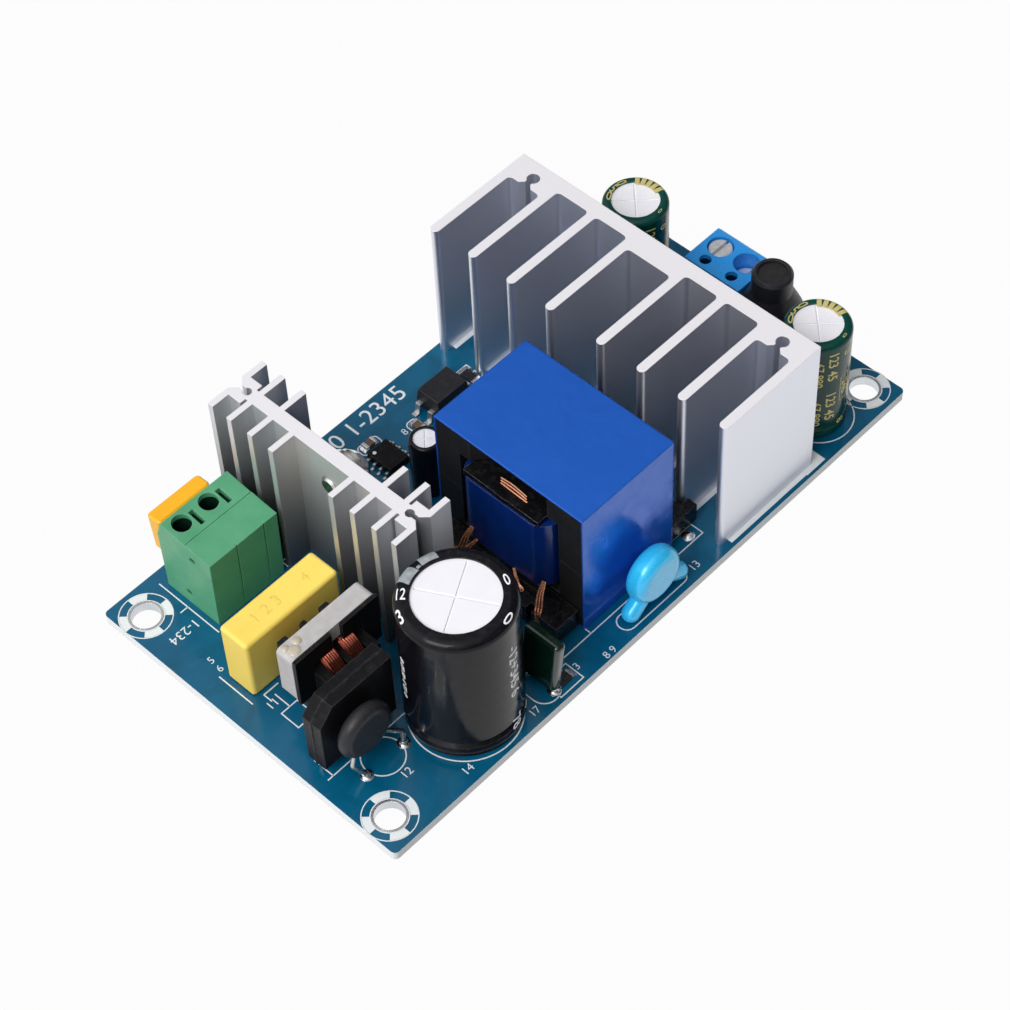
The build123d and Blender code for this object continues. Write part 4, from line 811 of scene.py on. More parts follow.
class Shape:
    """Vertices in millimetres and the faces between them."""

    def __init__(self) -> None:
        """Starts with nothing."""
        self.points: list[Vector] = []
        self.faces: list[tuple[int, ...]] = []

    def add(self, points: Iterable[Sequence[float]], faces: Iterable[Sequence[int]]) -> None:
        """Adds points and faces.

        Args:
            points: The points.
            faces: The faces, which number these points from 0.
        """
        first = len(self.points)
        self.points += [Vector(point) for point in points]
        self.faces += [tuple(first + index for index in face) for face in faces]

    def plate(self, outline: Sequence[Flat], low: float, high: float) -> None:
        """Adds an upright prism.

        Args:
            outline: Its corners, counterclockwise from above.
            low: Height of its underside.
            high: Height of its top.
        """
        count = len(outline)
        points = [(x, y, low) for x, y in outline] + [(x, y, high) for x, y in outline]
        faces = [tuple(reversed(range(count))), tuple(range(count, 2 * count))]
        faces += [(i, (i + 1) % count, count + (i + 1) % count, count + i) for i in range(count)]
        self.add(points, faces)

    def block(self, low: Point, high: Point) -> None:
        """Adds a box between two corners."""
        outline = [(low[0], low[1]), (high[0], low[1]), (high[0], high[1]), (low[0], high[1])]
        self.plate(outline, low[2], high[2])

    def ring(
        self, centre: Flat, radii: Flat, heights: Flat, turn: Flat = (0.0, 360.0), steps: int = 64
    ) -> None:
        """Adds a flat ring or a part of one.

        Args:
            centre: Its middle.
            radii: Inner and outer radius.
            heights: Underside and top.
            turn: Start and end in degrees.
            steps: Straight sides in a whole turn.
        """
        whole = turn[1] - turn[0] >= 360.0
        parts = max(2, round(steps * (turn[1] - turn[0]) / 360.0))
        stops = parts if whole else parts + 1
        points: list[Point] = []
        for stop in range(stops):
            angle = math.radians(turn[0] + (turn[1] - turn[0]) * stop / parts)
            for out, up in ((0, 0), (1, 0), (1, 1), (0, 1)):
                points.append((*polar(centre, radii[out], angle), heights[up]))
        faces = []
        for part in range(parts):
            here = 4 * part
            there = 4 * ((part + 1) % stops)
            faces += [(here + i, there + i, there + (i + 1) % 4, here + (i + 1) % 4) for i in range(4)]
        if not whole:
            last = 4 * parts
            faces += [(0, 1, 2, 3), (last + 3, last + 2, last + 1, last)]
        self.add(points, faces)

    def stroke(
        self, path: Sequence[Flat], width: float, low: float, high: float, closed: bool = False
    ) -> None:
        """Adds a flat line of even width with mitred corners.

        Args:
            path: The points it runs through.
            width: Its width.
            low: Its underside.
            high: Its top.
            closed: Whether it returns to its start.
        """
        spots = [Vector(point) for point in path]
        count = len(spots)
        left: list[Flat] = []
        right: list[Flat] = []
        for index, spot in enumerate(spots):
            before = spots[index - 1] if closed or index else spot
            after = spots[(index + 1) % count] if closed or index < count - 1 else spot
            come = (spot - before).normalized() if before != spot else (after - spot).normalized()
            leave = (after - spot).normalized() if after != spot else come
            side = Vector((-(come + leave).y, (come + leave).x)).normalized()
            reach = width / 2 / max(LEAST_MITRE, side.dot(Vector((-come.y, come.x))))
            left.append(tuple(spot + side * reach))
            right.append(tuple(spot - side * reach))
        runs = count if closed else count - 1
        for index in range(runs):
            after = (index + 1) % count
            self.plate([right[index], right[after], left[after], left[index]], low, high)

    def lathe(self, centre: Flat, profile: Sequence[Flat], steps: int = 32) -> None:
        """Adds a shape turned about an upright axis.

        Args:
            centre: The axis.
            profile: Radius and height pairs. A radius of 0 closes the end.
            steps: Straight sides in a turn.
        """
        rows: list[list[int]] = []
        points: list[Point] = []
        for radius, height in profile:
            if radius == 0.0:
                rows.append([len(points)] * steps)
                points.append((centre[0], centre[1], height))
                continue
            rows.append(list(range(len(points), len(points) + steps)))
            turns = [2 * math.pi * step / steps for step in range(steps)]
            points += [(*polar(centre, radius, turn), height) for turn in turns]
        faces = []
        for lower, upper in zip(rows, rows[1:]):
            for step in range(steps):
                after = (step + 1) % steps
                face = (lower[step], lower[after], upper[after], upper[step])
                faces.append(tuple(dict.fromkeys(face)))
        self.add(points, faces)

    def tube(self, path: Sequence[Point], radius: float, sides: int = 8) -> None:
        """Adds a round wire along a path, closed at both ends.

        Args:
            path: The points of its middle line.
            radius: Its radius.
            sides: Straight sides round it.
        """
        spots = [Vector(point) for point in path]
        points: list[Vector] = []
        across = None
        for index, spot in enumerate(spots):
            ahead = (spots[min(index + 1, len(spots) - 1)] - spots[max(index - 1, 0)]).normalized()
            if across is None:
                across = ahead.orthogonal().normalized()
            across = (across - ahead * across.dot(ahead)).normalized()
            other = ahead.cross(across)
            for side in range(sides):
                angle = 2 * math.pi * side / sides
                points.append(spot + radius * (across * math.cos(angle) + other * math.sin(angle)))
        last = (len(spots) - 1) * sides
        faces = [
            (row + side, row + (side + 1) % sides, row + sides + (side + 1) % sides, row + sides + side)
            for row in range(0, last, sides)
            for side in range(sides)
        ]
        faces.append(tuple(reversed(range(sides))))
        faces.append(tuple(range(last, last + sides)))
        self.add(points, faces)

    def digits(self, words: str, size: float, span: float = 0.0) -> "Shape":
        """Adds plain numbers, flat on z 0 with their middle at the origin.

        Args:
            words: The numbers.
            size: Height of a line of them.
            span: Longest edge, so that they can be bent; 0 leaves them as they are.

        Returns:
            This shape.
        """
        curve = bpy.data.curves.new("numbers", "FONT")
        curve.body = words
        curve.align_x = "CENTER"
        curve.align_y = "CENTER"
        curve.size = size
        curve.offset = PRINT_BOLD * size if span else 0.0
        curve.extrude = INK / 2
        curve.resolution_u = 3
        carrier = spawn("numbers", curve)
        made = carrier.evaluated_get(bpy.context.evaluated_depsgraph_get())
        mesh = bpy.data.meshes.new_from_object(made)
        if span:
            cutter = bmesh.new()
            cutter.from_mesh(mesh)
            for _ in range(3):
                bmesh.ops.triangulate(cutter, faces=cutter.faces)
                long_edges = [edge for edge in cutter.edges if edge.calc_length() > span]
                bmesh.ops.subdivide_edges(cutter, edges=long_edges, cuts=1)
            bmesh.ops.triangulate(cutter, faces=cutter.faces)
            cutter.to_mesh(mesh)
            cutter.free()
        self.add([v.co for v in mesh.vertices], [tuple(p.vertices) for p in mesh.polygons])
        bpy.data.meshes.remove(mesh)
        bpy.data.objects.remove(carrier)
        bpy.data.curves.remove(curve)
        return self

    def moved(self, matrix: Matrix) -> "Shape":
        """Moves every point by a matrix and gives the shape back."""
        self.points = [matrix @ point for point in self.points]
        return self

    def wrapped(self, centre: Sequence[float], radius: float, height: float, turn: float) -> "Shape":
        """Wraps a flat shape round an upright cylinder.

        Args:
            centre: The cylinder's axis.
            radius: Its radius.
            height: Where the shape's own origin comes to lie.
            turn: Angle in degrees where it comes to lie.

        Returns:
            This shape.
        """
        for point in self.points:
            angle = math.radians(turn) + point.x / radius
            point.xyz = (*polar(centre, radius + point.z, angle), height + point.y)
        return self

    def crowned(self, sleeve: Place, reach: float, turn: float) -> "Shape":
        """Lays a flat shape on a sleeve's top and down over its round shoulder.

        Args:
            sleeve: The sleeve's box.
            reach: Distance from the axis where the shape's own origin comes to lie.
            turn: Angle in degrees where it comes to lie.

        Returns:
            This shape.
        """
        bend = SLEEVE_WALL + SHOULDER_SHARE * sleeve.radius
        flat = sleeve.radius - bend
        for point in self.points:
            run = max(0.0, reach + point.x - flat)
            lean = min(run / bend, math.pi / 2)
            out = bend * math.sin(lean) if run else reach + point.x - flat
            fall = bend * (1.0 - math.cos(lean)) + max(0.0, run - bend * math.pi / 2)
            angle = math.radians(turn) + point.y / (flat + out)
            distance = flat + out + point.z * math.sin(lean)
            height = sleeve.high.z - fall + point.z * math.cos(lean)
            point.xyz = (*polar(sleeve.centre, distance, angle), height)
        return self

    def tile(self, low: Flat, high: Flat, parts: tuple[int, int] = (4, 4)) -> "Shape":
        """Adds a thin flat patch on z 0, cut into parts so that it can bend.

        Args:
            low: Its lowest corner.
            high: Its highest corner.
            parts: How many parts it has each way.

        Returns:
            This shape.
        """
        wide = parts[0] + 1
        points: list[Point] = []
        for z in (-INK / 2, INK / 2):
            for row in range(parts[1] + 1):
                for column in range(wide):
                    x = low[0] + (high[0] - low[0]) * column / parts[0]
                    y = low[1] + (high[1] - low[1]) * row / parts[1]
                    points.append((x, y, z))
        layer = wide * (parts[1] + 1)
        faces: list[tuple[int, ...]] = []
        for row in range(parts[1]):
            for column in range(parts[0]):
                corner = row * wide + column
                face = (corner, corner + 1, corner + wide + 1, corner + wide)
                faces.append(tuple(reversed(face)))
                faces.append(tuple(layer + index for index in face))
        edge = list(range(wide))
        edge += [(row + 1) * wide - 1 for row in range(1, parts[1] + 1)]
        edge += [parts[1] * wide + column for column in range(parts[0] - 1, -1, -1)]
        edge += [row * wide for row in range(parts[1] - 1, 0, -1)]
        for here, there in zip(edge, edge[1:] + edge[:1]):
            faces.append((here, there, layer + there, layer + here))
        self.add(points, faces)
        return self

    def join(self, other: "Shape") -> "Shape":
        """Adds another shape's points and faces."""
        self.add(other.points, other.faces)
        return self

    def piece(self, name: str, finish: Finish, slot: Slot, smooth: bool = False) -> bpy.types.Object:
        """Makes the Blender piece and lets it ride on the board.

        Args:
            name: The piece's name.
            finish: What it is finished in.
            slot: The record's slot meant for it; not used.
            smooth: Whether its faces are shaded round.

        Returns:
            The new object.
        """
        mesh = bpy.data.meshes.new(name)
        mesh.from_pydata([tuple(point * MM) for point in self.points], [], self.faces)
        mesh.validate()
        mesh.update()
        mesh.materials.append(finish.material)
        made = spawn(name, mesh)
        if smooth:
            mesh.shade_smooth()
            mesh.set_sharp_from_angle(angle=CREASE)
        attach(made, BODY)
        log.info("made %s, %d faces", name, len(self.faces))
        return made


def arc(centre: Flat, radius: float, start: float, end: float, steps: int = 24) -> list[Flat]:
    """Gives points along an arc.

    Args:
        centre: Its middle.
        radius: Its radius.
        start: First angle in degrees.
        end: Last angle in degrees.
        steps: Straight runs in it.

    Returns:
        The points.
    """
    turns = [math.radians(start + (end - start) * step / steps) for step in range(steps + 1)]
    return [polar(centre, radius, turn) for turn in turns]


def rounded_box(low: Flat, high: Flat, radius: float) -> list[Flat]:
    """Gives the closed outline of a box with round corners.

    Args:
        low: Its lowest corner.
        high: Its highest corner.
        radius: Radius of its corners.

    Returns:
        The points, counterclockwise.
    """
    corners = (
        ((high[0] - radius, high[1] - radius), 0.0),
        ((low[0] + radius, high[1] - radius), 90.0),
        ((low[0] + radius, low[1] + radius), 180.0),
        ((high[0] - radius, low[1] + radius), 270.0),
    )
    path: list[Flat] = []
    for centre, start in corners:
        path += arc(centre, radius, start, start + 90.0, 6)
    return path


def islands(node: str, reach: float = 0.9, sole: float = 0.05) -> list[Flat]:
    """Finds where the solids of a node stand.

    Args:
        node: The CAD node.
        reach: Distance under which two points belong to one solid.
        sole: Height over the lowest point that still counts as lowest.

    Returns:
        The middle of each solid's lowest face.
    """
    corners = corners_of(node)
    lowest = min(corner.z for corner in corners)
    feet = grouped([corner for corner in corners if corner.z <= lowest + sole], reach)
    return [((low[0] + high[0]) / 2, (low[1] + high[1]) / 2) for low, high in map(extent, feet)]


@dataclass
class CircuitBoard:
    """Print, plated holes, pads and solder of the circuit board."""

    holes: tuple[Flat, ...] = ((-49.7, -24.25), (-49.7, 24.25), (49.7, -24.25), (49.7, 24.25))
    hole_radius: float = 2.25
    ring_inner: float = 2.55
    ring_outer: float = 3.95
    ring_line: float = 0.17
    barrel: float = 0.05
    land_radii: Flat = (1.0, 1.3)
    bare_joint: Flat = (11.8, -22.9)
    outline: float = 0.2
    comb_fins: tuple[float, ...] = (27.3, 19.8, 12.3, 4.8)
    comb_tip: float = 15.0
    comb_root: float = 31.5
    comb_back: float = 35.6
    comb_sides: Flat = (-1.5, 0.6)
    comb_lip: float = 0.9
    low: float = DECK
    high: float = DECK + INK
    fillet: tuple[Flat, ...] = (
        *((0.0, -1.3), (0.3, -1.27), (0.38, -1.05), (0.46, -0.75)),
        *((0.62, -0.42), (0.85, -0.18), (1.05, -0.05), (1.1, 0.0)),
    )
    collar: tuple[Flat, ...] = (
        *((1.0, 0.0), (1.0, INK), (0.8, 0.06), (0.6, 0.18)),
        *((0.45, 0.4), (0.36, 0.65), (0.3, 0.65)),
    )

    def hole_rings(self) -> None:
        """Prints the segmented ring round each fixing hole."""
        print_shape = Shape()
        heights = (self.low, self.high)
        radii = (self.ring_inner + self.ring_line, self.ring_outer - self.ring_line)
        for hole in self.holes:
            print_shape.ring(hole, (self.ring_inner, radii[0]), heights)
            print_shape.ring(hole, (radii[1], self.ring_outer), heights)
            for start in (45.0, 135.0, 225.0, 315.0):
                print_shape.ring(hole, radii, heights, (start, start + 45.0))
        print_shape.piece("hole_rings", Finishes.silk, Slot.BOARD)

    def hole_plating(self) -> None:
        """Lines each fixing hole with its plated barrel and lands."""
        barrels = Shape()
        inner = self.hole_radius - self.barrel
        land = self.ring_inner
        below = [(inner, -INK), (land, -INK), (land, 0.0), (self.hole_radius, 0.0)]
        above = [(self.hole_radius, DECK), (land, DECK), (land, DECK + INK), (inner, DECK + INK)]
        for hole in self.holes:
            barrels.lathe(hole, below + above + below[:1], 48)
        barrels.piece("hole_plating", Finishes.plating, Slot.SOLDER, smooth=True)

    def outlines(self) -> None:
        """Prints the outline of each part's place."""
        printed = Shape()

        def line(path: Sequence[Flat], closed: bool = False) -> None:
            """Prints one line."""
            printed.stroke(path, self.outline, self.low, self.high, closed)

        line([(-44.7, 14.5), (-44.7, 27.0)])
        line([(-44.7, 21.0), (-46.1, 21.0)])
        line([(-48.2, -5.2), (-45.2, -5.2), (-45.2, -1.8), (-48.2, -1.8)], True)
        line([(-46.6, -1.8), (-46.6, 1.2)])
        line([(-47.7, 0.6), (-47.7, 2.2), (-45.0, 2.2)])
        line([(-49.8, 2.2), (-49.8, 9.0)])
        line([(-50.4, -10.5), (-50.4, -14.2), (-36.8, -14.2)])
        line([(-50.4, -14.2), (-51.4, -14.2)])
        line(arc((-43.7, -17.0), 3.1, 0.0, 360.0, 40)[:-1], True)
        line(arc((-31.0, -20.2), 8.05, 0.0, 360.0, 72)[:-1], True)
        line(rounded_box((-23.5, -28.0), (-19.0, -20.2), 2.2), True)
        line([(-20.6, -24.9), (-16.1, -24.9), (-16.1, -28.3), (-20.6, -28.3)], True)
        line([(-17.0, -24.1), (13.7, -24.1)])
        line([(-10.0, -24.1), (-10.0, -22.4)])
        line([(8.2, -24.1), (8.2, -21.8), (13.6, -21.8), (13.6, -24.1)])
        line(rounded_box((-6.6, -27.9), (6.7, -25.0), 1.4), True)
        line(arc((41.3, -22.4), 5.3, 0.0, 360.0, 48)[:-1], True)
        line(arc((41.7, 14.0), 5.3, 0.0, 360.0, 48)[:-1], True)
        line([(-30.3, 15.6), (-30.3, 16.9), (-26.0, 16.9)])
        line(rounded_box((-8.9, 21.6), (-5.1, 23.6), 0.7), True)
        line(rounded_box((-0.8, 17.9), (1.2, 21.5), 0.7), True)
        line([(10.9, 18.9), (13.7, 18.9), (13.7, 22.9), (10.9, 22.9)], True)
        line([(44.6, -3.6), (44.6, 7.2)])
        printed.piece("part_outlines", Finishes.silk, Slot.BOARD)

    def heatsink_shadow(self) -> None:
        """Prints the comb shape under the large heatsink."""
        comb = Shape()
        place = Place("large_heatsink")
        middle = place.centre.y
        for offset in sorted([side * fin for side in (-1, 1) for fin in self.comb_fins]):
            near, far = (middle + offset + side for side in self.comb_sides)
            comb.block((self.comb_tip, near, self.low), (self.comb_root, far, self.high))
        low = (self.comb_root, place.low.y - self.comb_lip, self.low)
        comb.block(low, (self.comb_back, place.high.y, self.high))
        comb.piece("heatsink_print", Finishes.silk, Slot.BOARD)

    def numbers(self) -> None:
        """Prints plain numbers beside the parts."""
        printed = Shape()
        marks = (
            ("1-234", (-47.9, 18.2), 2.2, 180.0),
            ("5", (-48.7, 11.8), 1.7, 0.0),
            ("6", (-48.8, 9.9), 1.7, 0.0),
            ("11", (-47.9, 0.2), 1.9, 0.0),
            ("12", (-43.4, -21.2), 1.8, 0.0),
            ("14", (-37.5, -26.9), 1.8, 0.0),
            ("17", (-24.7, -27.2), 1.7, 0.0),
            ("3", (-15.4, -26.4), 1.7, 0.0),
            ("8 9", (-10.6, -28.2), 1.7, 0.0),
            ("13", (8.4, -27.1), 1.8, 0.0),
            ("0 1-2345", (-3.4, 26.6), 4.1, 0.0),
            ("20", (13.0, 21.6), 1.7, 0.0),
            ("8", (-1.7, 20.6), 1.7, 0.0),
        )
        for words, spot, size, turn in marks:
            shape = Shape().digits(words, size)
            move = Matrix.Translation((spot[0], spot[1], self.low + INK / 2))
            printed.join(shape.moved(move @ Matrix.Rotation(math.radians(turn), 4, "Z")))
        printed.piece("board_numbers", Finishes.silk, Slot.BOARD)

    def solder(self) -> None:
        """Builds the solder fillets under the board and the ones seen on top."""
        below = Shape()
        lands = Shape()
        for spot in islands("solder_joints"):
            below.lathe(spot, self.fillet, 20)
            lands.ring(spot, self.land_radii, (-INK, 0.0), steps=24)
        piece = below.piece("solder_fillets", Finishes.solder, Slot.SOLDER, smooth=True)
        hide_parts("solder_joints")
        lands.piece("solder_lands", Finishes.plating, Slot.SOLDER)
        above = Shape()
        rise = [(radius, DECK + height) for radius, height in self.collar]
        for node in ("thermistor_leads", "input_fuse_leads", "dipped_capacitor_leads"):
            for spot in islands(node):
                above.lathe(spot, rise, 24)
        above.lathe(self.bare_joint, rise[:3] + [(0.5, DECK + 0.35), (0.0, DECK + 0.45)], 24)
        above.piece("top_fillets", Finishes.solder, Slot.SOLDER, smooth=True)

    def build(self) -> None:
        """Builds every piece of the board."""
        self.hole_rings()
        self.hole_plating()
        self.outlines()
        self.heatsink_shadow()
        self.numbers()
        self.solder()


@dataclass
class LineFilter:
    """Marks on the line capacitor, wound choke sections and the glue on the choke."""

    wire: float = 0.18
    turns: int = 6
    steps: int = 24
    layers: tuple[float, ...] = (4.7, 4.4)
    drum: float = 4.2
    section: float = 2.55

    def windings(self) -> None:
        """Winds both choke sections turn by turn."""
        place = Place("choke_windings")
        middle = place.centre
        coil = Shape()
        for start in (place.low.x + self.wire, place.high.x - self.section + self.wire):
            for layer, radius in enumerate(self.layers):
                path: list[Point] = []
                rise = (self.section - 2 * self.wire) / self.turns
                for step in range(self.turns * self.steps + 1):
                    turn = 2 * math.pi * step / self.steps + layer
                    along = start + rise * step / self.steps
                    path.append((along, *polar(middle.yz, radius, turn)))
                coil.tube(path, self.wire, 8)
            drum = Shape()
            profile = [(0.0, 0.0), (self.drum, 0.0), (self.drum, self.section), (0.0, self.section)]
            drum.lathe((0.0, 0.0), profile, 32)
            side = Matrix.Translation((start - self.wire, middle.y, middle.z))
            coil.join(drum.moved(side @ Matrix.Rotation(math.radians(90.0), 4, "Y")))
        piece = coil.piece("choke_coils", Finishes.copper, Slot.COPPER, smooth=True)
        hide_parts("choke_windings")

    def glue(self) -> None:
        """Lays beads of glue over the choke frame's mains end."""
        core = Place("choke_core")
        beads = Shape()
        for x, y, radius in ((1.6, 1.1, 0.95), (2.9, 2.0, 0.7), (1.0, 2.2, 0.6)):
            spot = (core.low.x + x, core.low.y + y)
            top = core.high.z
            bead = [(radius, top), (radius * 0.85, top + 0.1), (radius * 0.5, top + 0.18), (0.0, top + 0.2)]
            beads.lathe(spot, bead, 20)
        beads.piece("choke_glue", Finishes.glue, Slot.FERRITE, smooth=True)

    def capacitor_numbers(self) -> None:
        """Raises plain numbers on the line capacitor's top."""
        box = Place("line_capacitor")
        raised = Shape()
        for words, along, size in (("1 2 3", 6.3, 2.6), ("4", 13.6, 2.4)):
            spot = Matrix.Translation((box.low.x + along, box.centre.y, box.high.z + INK / 4))
            raised.join(Shape().digits(words, size).moved(spot))
        raised.piece("line_capacitor_numbers", Finishes.yellow, Slot.YELLOW)

    def build(self) -> None:
        """Builds every piece of the filter."""
        self.windings()
        self.glue()
        self.capacitor_numbers()


@dataclass
class TerminalShades:
    """Painted shade: dark linings deep in the terminals' holes, and a dark strip of painted shadow along the
    line where the mains one's top folds.
    """

    inlet: float = -43.8
    ways: Flat = (0.0, 5.04)
    chamber: float = DECK + 9.55
    wire_hole: Flat = (2.25, 23.0)
    wire_radii: Flat = (1.42, 1.445)
    wire_rim: float = DECK + 13.9
    slot: Flat = (4.45, 0.42)
    slot_reach: Flat = (20.96, 23.64)
    slot_rim: float = DECK + 13.6
    # Dark discs of painted shade in the two small holes on the side.
    marks: tuple[Flat, Flat] = ((18.9, 11.7), (21.1, 2.4))
    side_shade_radius: float = 0.56
    side_shade_depth: Flat = (0.0, 0.04)
    side_shade_inset: float = 0.3
    # A dark strip of painted shadow along the step on the top.
    fold_shadow: tuple[Point, Point] = ((0.1, 20.0, DECK + 14.1), (12.48, 20.14, DECK + 14.29))
    tests: tuple[Flat, Flat] = ((46.6, -0.71), (46.6, 4.37))
    test_radii: Flat = (0.92, 0.945)
    test_reach: Flat = (DECK + 4.6, DECK + 9.2)

    def mains(self) -> None:
        """Paints shade into the mains terminal: dark linings in the wire holes, dark blocks in the test
        slots, dark discs in the two small side holes, and a painted shadow along the fold.
        """
        shade = Shape()
        for way in self.ways:
            hole = (self.inlet + way + self.wire_hole[0], self.wire_hole[1])
            shade.ring(hole, self.wire_radii, (self.chamber, self.wire_rim), steps=32)
            slot = self.inlet + way + self.slot[0]
            near = (slot - self.slot[1], self.slot_reach[0], self.chamber)
            shade.block(near, (slot + self.slot[1], self.slot_reach[1], self.slot_rim))
        for y, height in self.marks:
            disc = Shape()
            disc.plate(arc((0.0, 0.0), self.side_shade_radius, 0.0, 345.0, 23), *self.side_shade_depth)
            side = Matrix.Translation((self.inlet + self.side_shade_inset, y, DECK + height))
            shade.join(disc.moved(side @ Matrix.Rotation(math.radians(90.0), 4, "Y")))
        # Painted shadow of the step on the top.
        shade.block(*[(self.inlet + x, y, z) for x, y, z in self.fold_shadow])
        shade.piece("input_terminal_painted_shade", Finishes.green_painted_shade, Slot.GREEN_CASE)

    def output(self) -> None:
        """Lines the two small holes of the output terminal with painted shade."""
        shade = Shape()
        for place in self.tests:
            shade.ring(place, self.test_radii, self.test_reach, steps=32)
        shade.piece("output_terminal_painted_shade", Finishes.blue_painted_shade, Slot.BLUE_CASE)

    def build(self) -> None:
        """Builds the linings."""
        self.mains()
        self.output()


@dataclass
class RoundCapacitors:
    """Printed marks on the sleeves of the round capacitors."""

    sleeves: tuple[str, str] = ("output_capacitor_left_sleeve", "output_capacitor_right_sleeve")
    bar_turns: tuple[float, ...] = (-18.0, -4.0, 10.0, 24.0, 38.0)
    bar_start: float = 3.15
    bar: Flat = (1.6, 0.36)
    frame_inner: Flat = (0.83, 2.6)
    frame_outer: Flat = (0.95, 2.72)
    frame_place: Flat = (DECK + 9.8, -84.0)

    @staticmethod
    def _words(words: str, size: float, turn: float, narrow: float = 0.62) -> Shape:
        """Gives plain numbers turned by an angle in degrees."""
        flat = Matrix.Rotation(math.radians(turn), 4, "Z") @ Matrix.Diagonal((narrow, 1.0, 1.0, 1.0))
        return Shape().digits(words, size, PRINT_SPAN).moved(flat)

    def _over_top(self, marks: Shape, place: Place, rows: Iterable[tuple]) -> None:
        """Adds the numbers that lie over a sleeve's shoulder.

        Args:
            marks: The print to add to.
            place: The sleeve's box.
            rows: Words, turn, distance from the axis, size and lean of each.
        """
        for words, turn, reach, size, lean in rows:
            marks.join(self._words(words, size, lean).crowned(place, reach, turn))

    def _up_side(self, marks: Shape, place: Place, rows: Iterable[tuple]) -> None:
        """Adds the numbers that stand on a sleeve's side.

        Args:
            marks: The print to add to.
            place: The sleeve's box.
            rows: Words, turn, height over the board, size and lean of each.
        """
        for words, turn, height, size, lean in rows:
            text = self._words(words, size, lean, 1.0)
            marks.join(text.wrapped(place.centre, place.radius + INK / 2, DECK + height, turn))

    def bulk_print(self) -> None:
        """Prints numbers and the pale marks over the shoulder of the bulk capacitor."""
        place = Place("bulk_capacitor_sleeve")
        marks = Shape()
        rows = (
            ("-12+345 6", -78.0, 14.6, 2.7, -90.0),
            ("78", -78.0, 2.6, 2.7, -90.0),
            ("9", -52.0, 1.2, 2.0, -90.0),
            ("0 12 3 45 67 8", 160.0, 12.5, 1.5, 90.0),
            ("90 1 234 5", 60.0, 13.0, 2.7, -90.0),
        )
        self._up_side(marks, place, rows)
        crown = (
            ("12", 131.0, 7.35, 2.6, 180.0),
            ("3", 157.0, 7.95, 3.2, 180.0),
            ("0", -27.0, 7.0, 2.6, 0.0),
            ("0", -76.0, 7.75, 2.9, 0.0),
        )
        self._over_top(marks, place, crown)
        marks.piece("bulk_capacitor_print", Finishes.sleeve_print, Slot.BLACK_SLEEVE)
        pale = Shape()
        for turn, start, end, half in ((75.0, 6.6, 8.9, 1.3), (105.0, 6.4, 9.4, 1.35)):
            patch = Shape().tile((0.0, -half), (end - start, half), (8, 5))
            pale.join(patch.crowned(place, start, turn))
        pale.join(Shape().tile((0.0, -0.3), (0.45, 0.3), (2, 2)).crowned(place, 6.6, 90.0))
        pale.piece("bulk_capacitor_marks", Finishes.grey_print, Slot.BLACK_SLEEVE)

    def output_print(self) -> None:
        """Prints gold bars, numbers and frames on the two output capacitors."""
        crown = (
            ("0", 122.0, 4.0, 2.6, 180.0),
            ("5", 98.0, 4.0, 2.4, 180.0),
            ("0", 75.0, 4.0, 2.4, 180.0),
            ("0", -82.0, 4.3, 1.3, 0.0),
        )
        rows = (
            ("123 45", -113.0, 15.6, 2.2, -90.0),
            ("123 45", -113.0, 7.0, 2.2, -90.0),
            ("67 890", -137.0, 14.2, 1.9, -90.0),
            ("67 890", -137.0, 5.6, 1.9, -90.0),
            ("246", -84.0, 9.8, 1.9, -90.0),
            ("0", -84.0, 17.2, 1.9, -90.0),
            ("8", -88.0, 2.4, 2.0, -90.0),
            ("13579", -56.0, 11.0, 1.8, -90.0),
        )
        across, tall = self.frame_inner
        wide, top = self.frame_outer
        for sleeve in self.sleeves:
            place = Place(sleeve)
            marks = Shape()
            for turn in self.bar_turns:
                bar = Shape().tile((0.0, -self.bar[1]), self.bar, (6, 3))
                marks.join(bar.crowned(place, self.bar_start, turn))
            self._over_top(marks, place, crown)
            self._up_side(marks, place, rows)
            frame_line = Shape()
            for low, high in (
                ((-wide, -tall), (-across, tall)),
                ((across, -tall), (wide, tall)),
                ((-across, -top), (across, -tall)),
                ((-across, tall), (across, top)),
            ):
                frame_line.tile(low, high, (3, 1))
            marks.join(frame_line.wrapped(place.centre, place.radius + INK / 2, *self.frame_place))
            marks.piece(sleeve.replace("sleeve", "print"), Finishes.gold, Slot.GREEN_SLEEVE)

    def build(self) -> None:
        """Prints all the sleeves."""
        self.bulk_print()
        self.output_print()


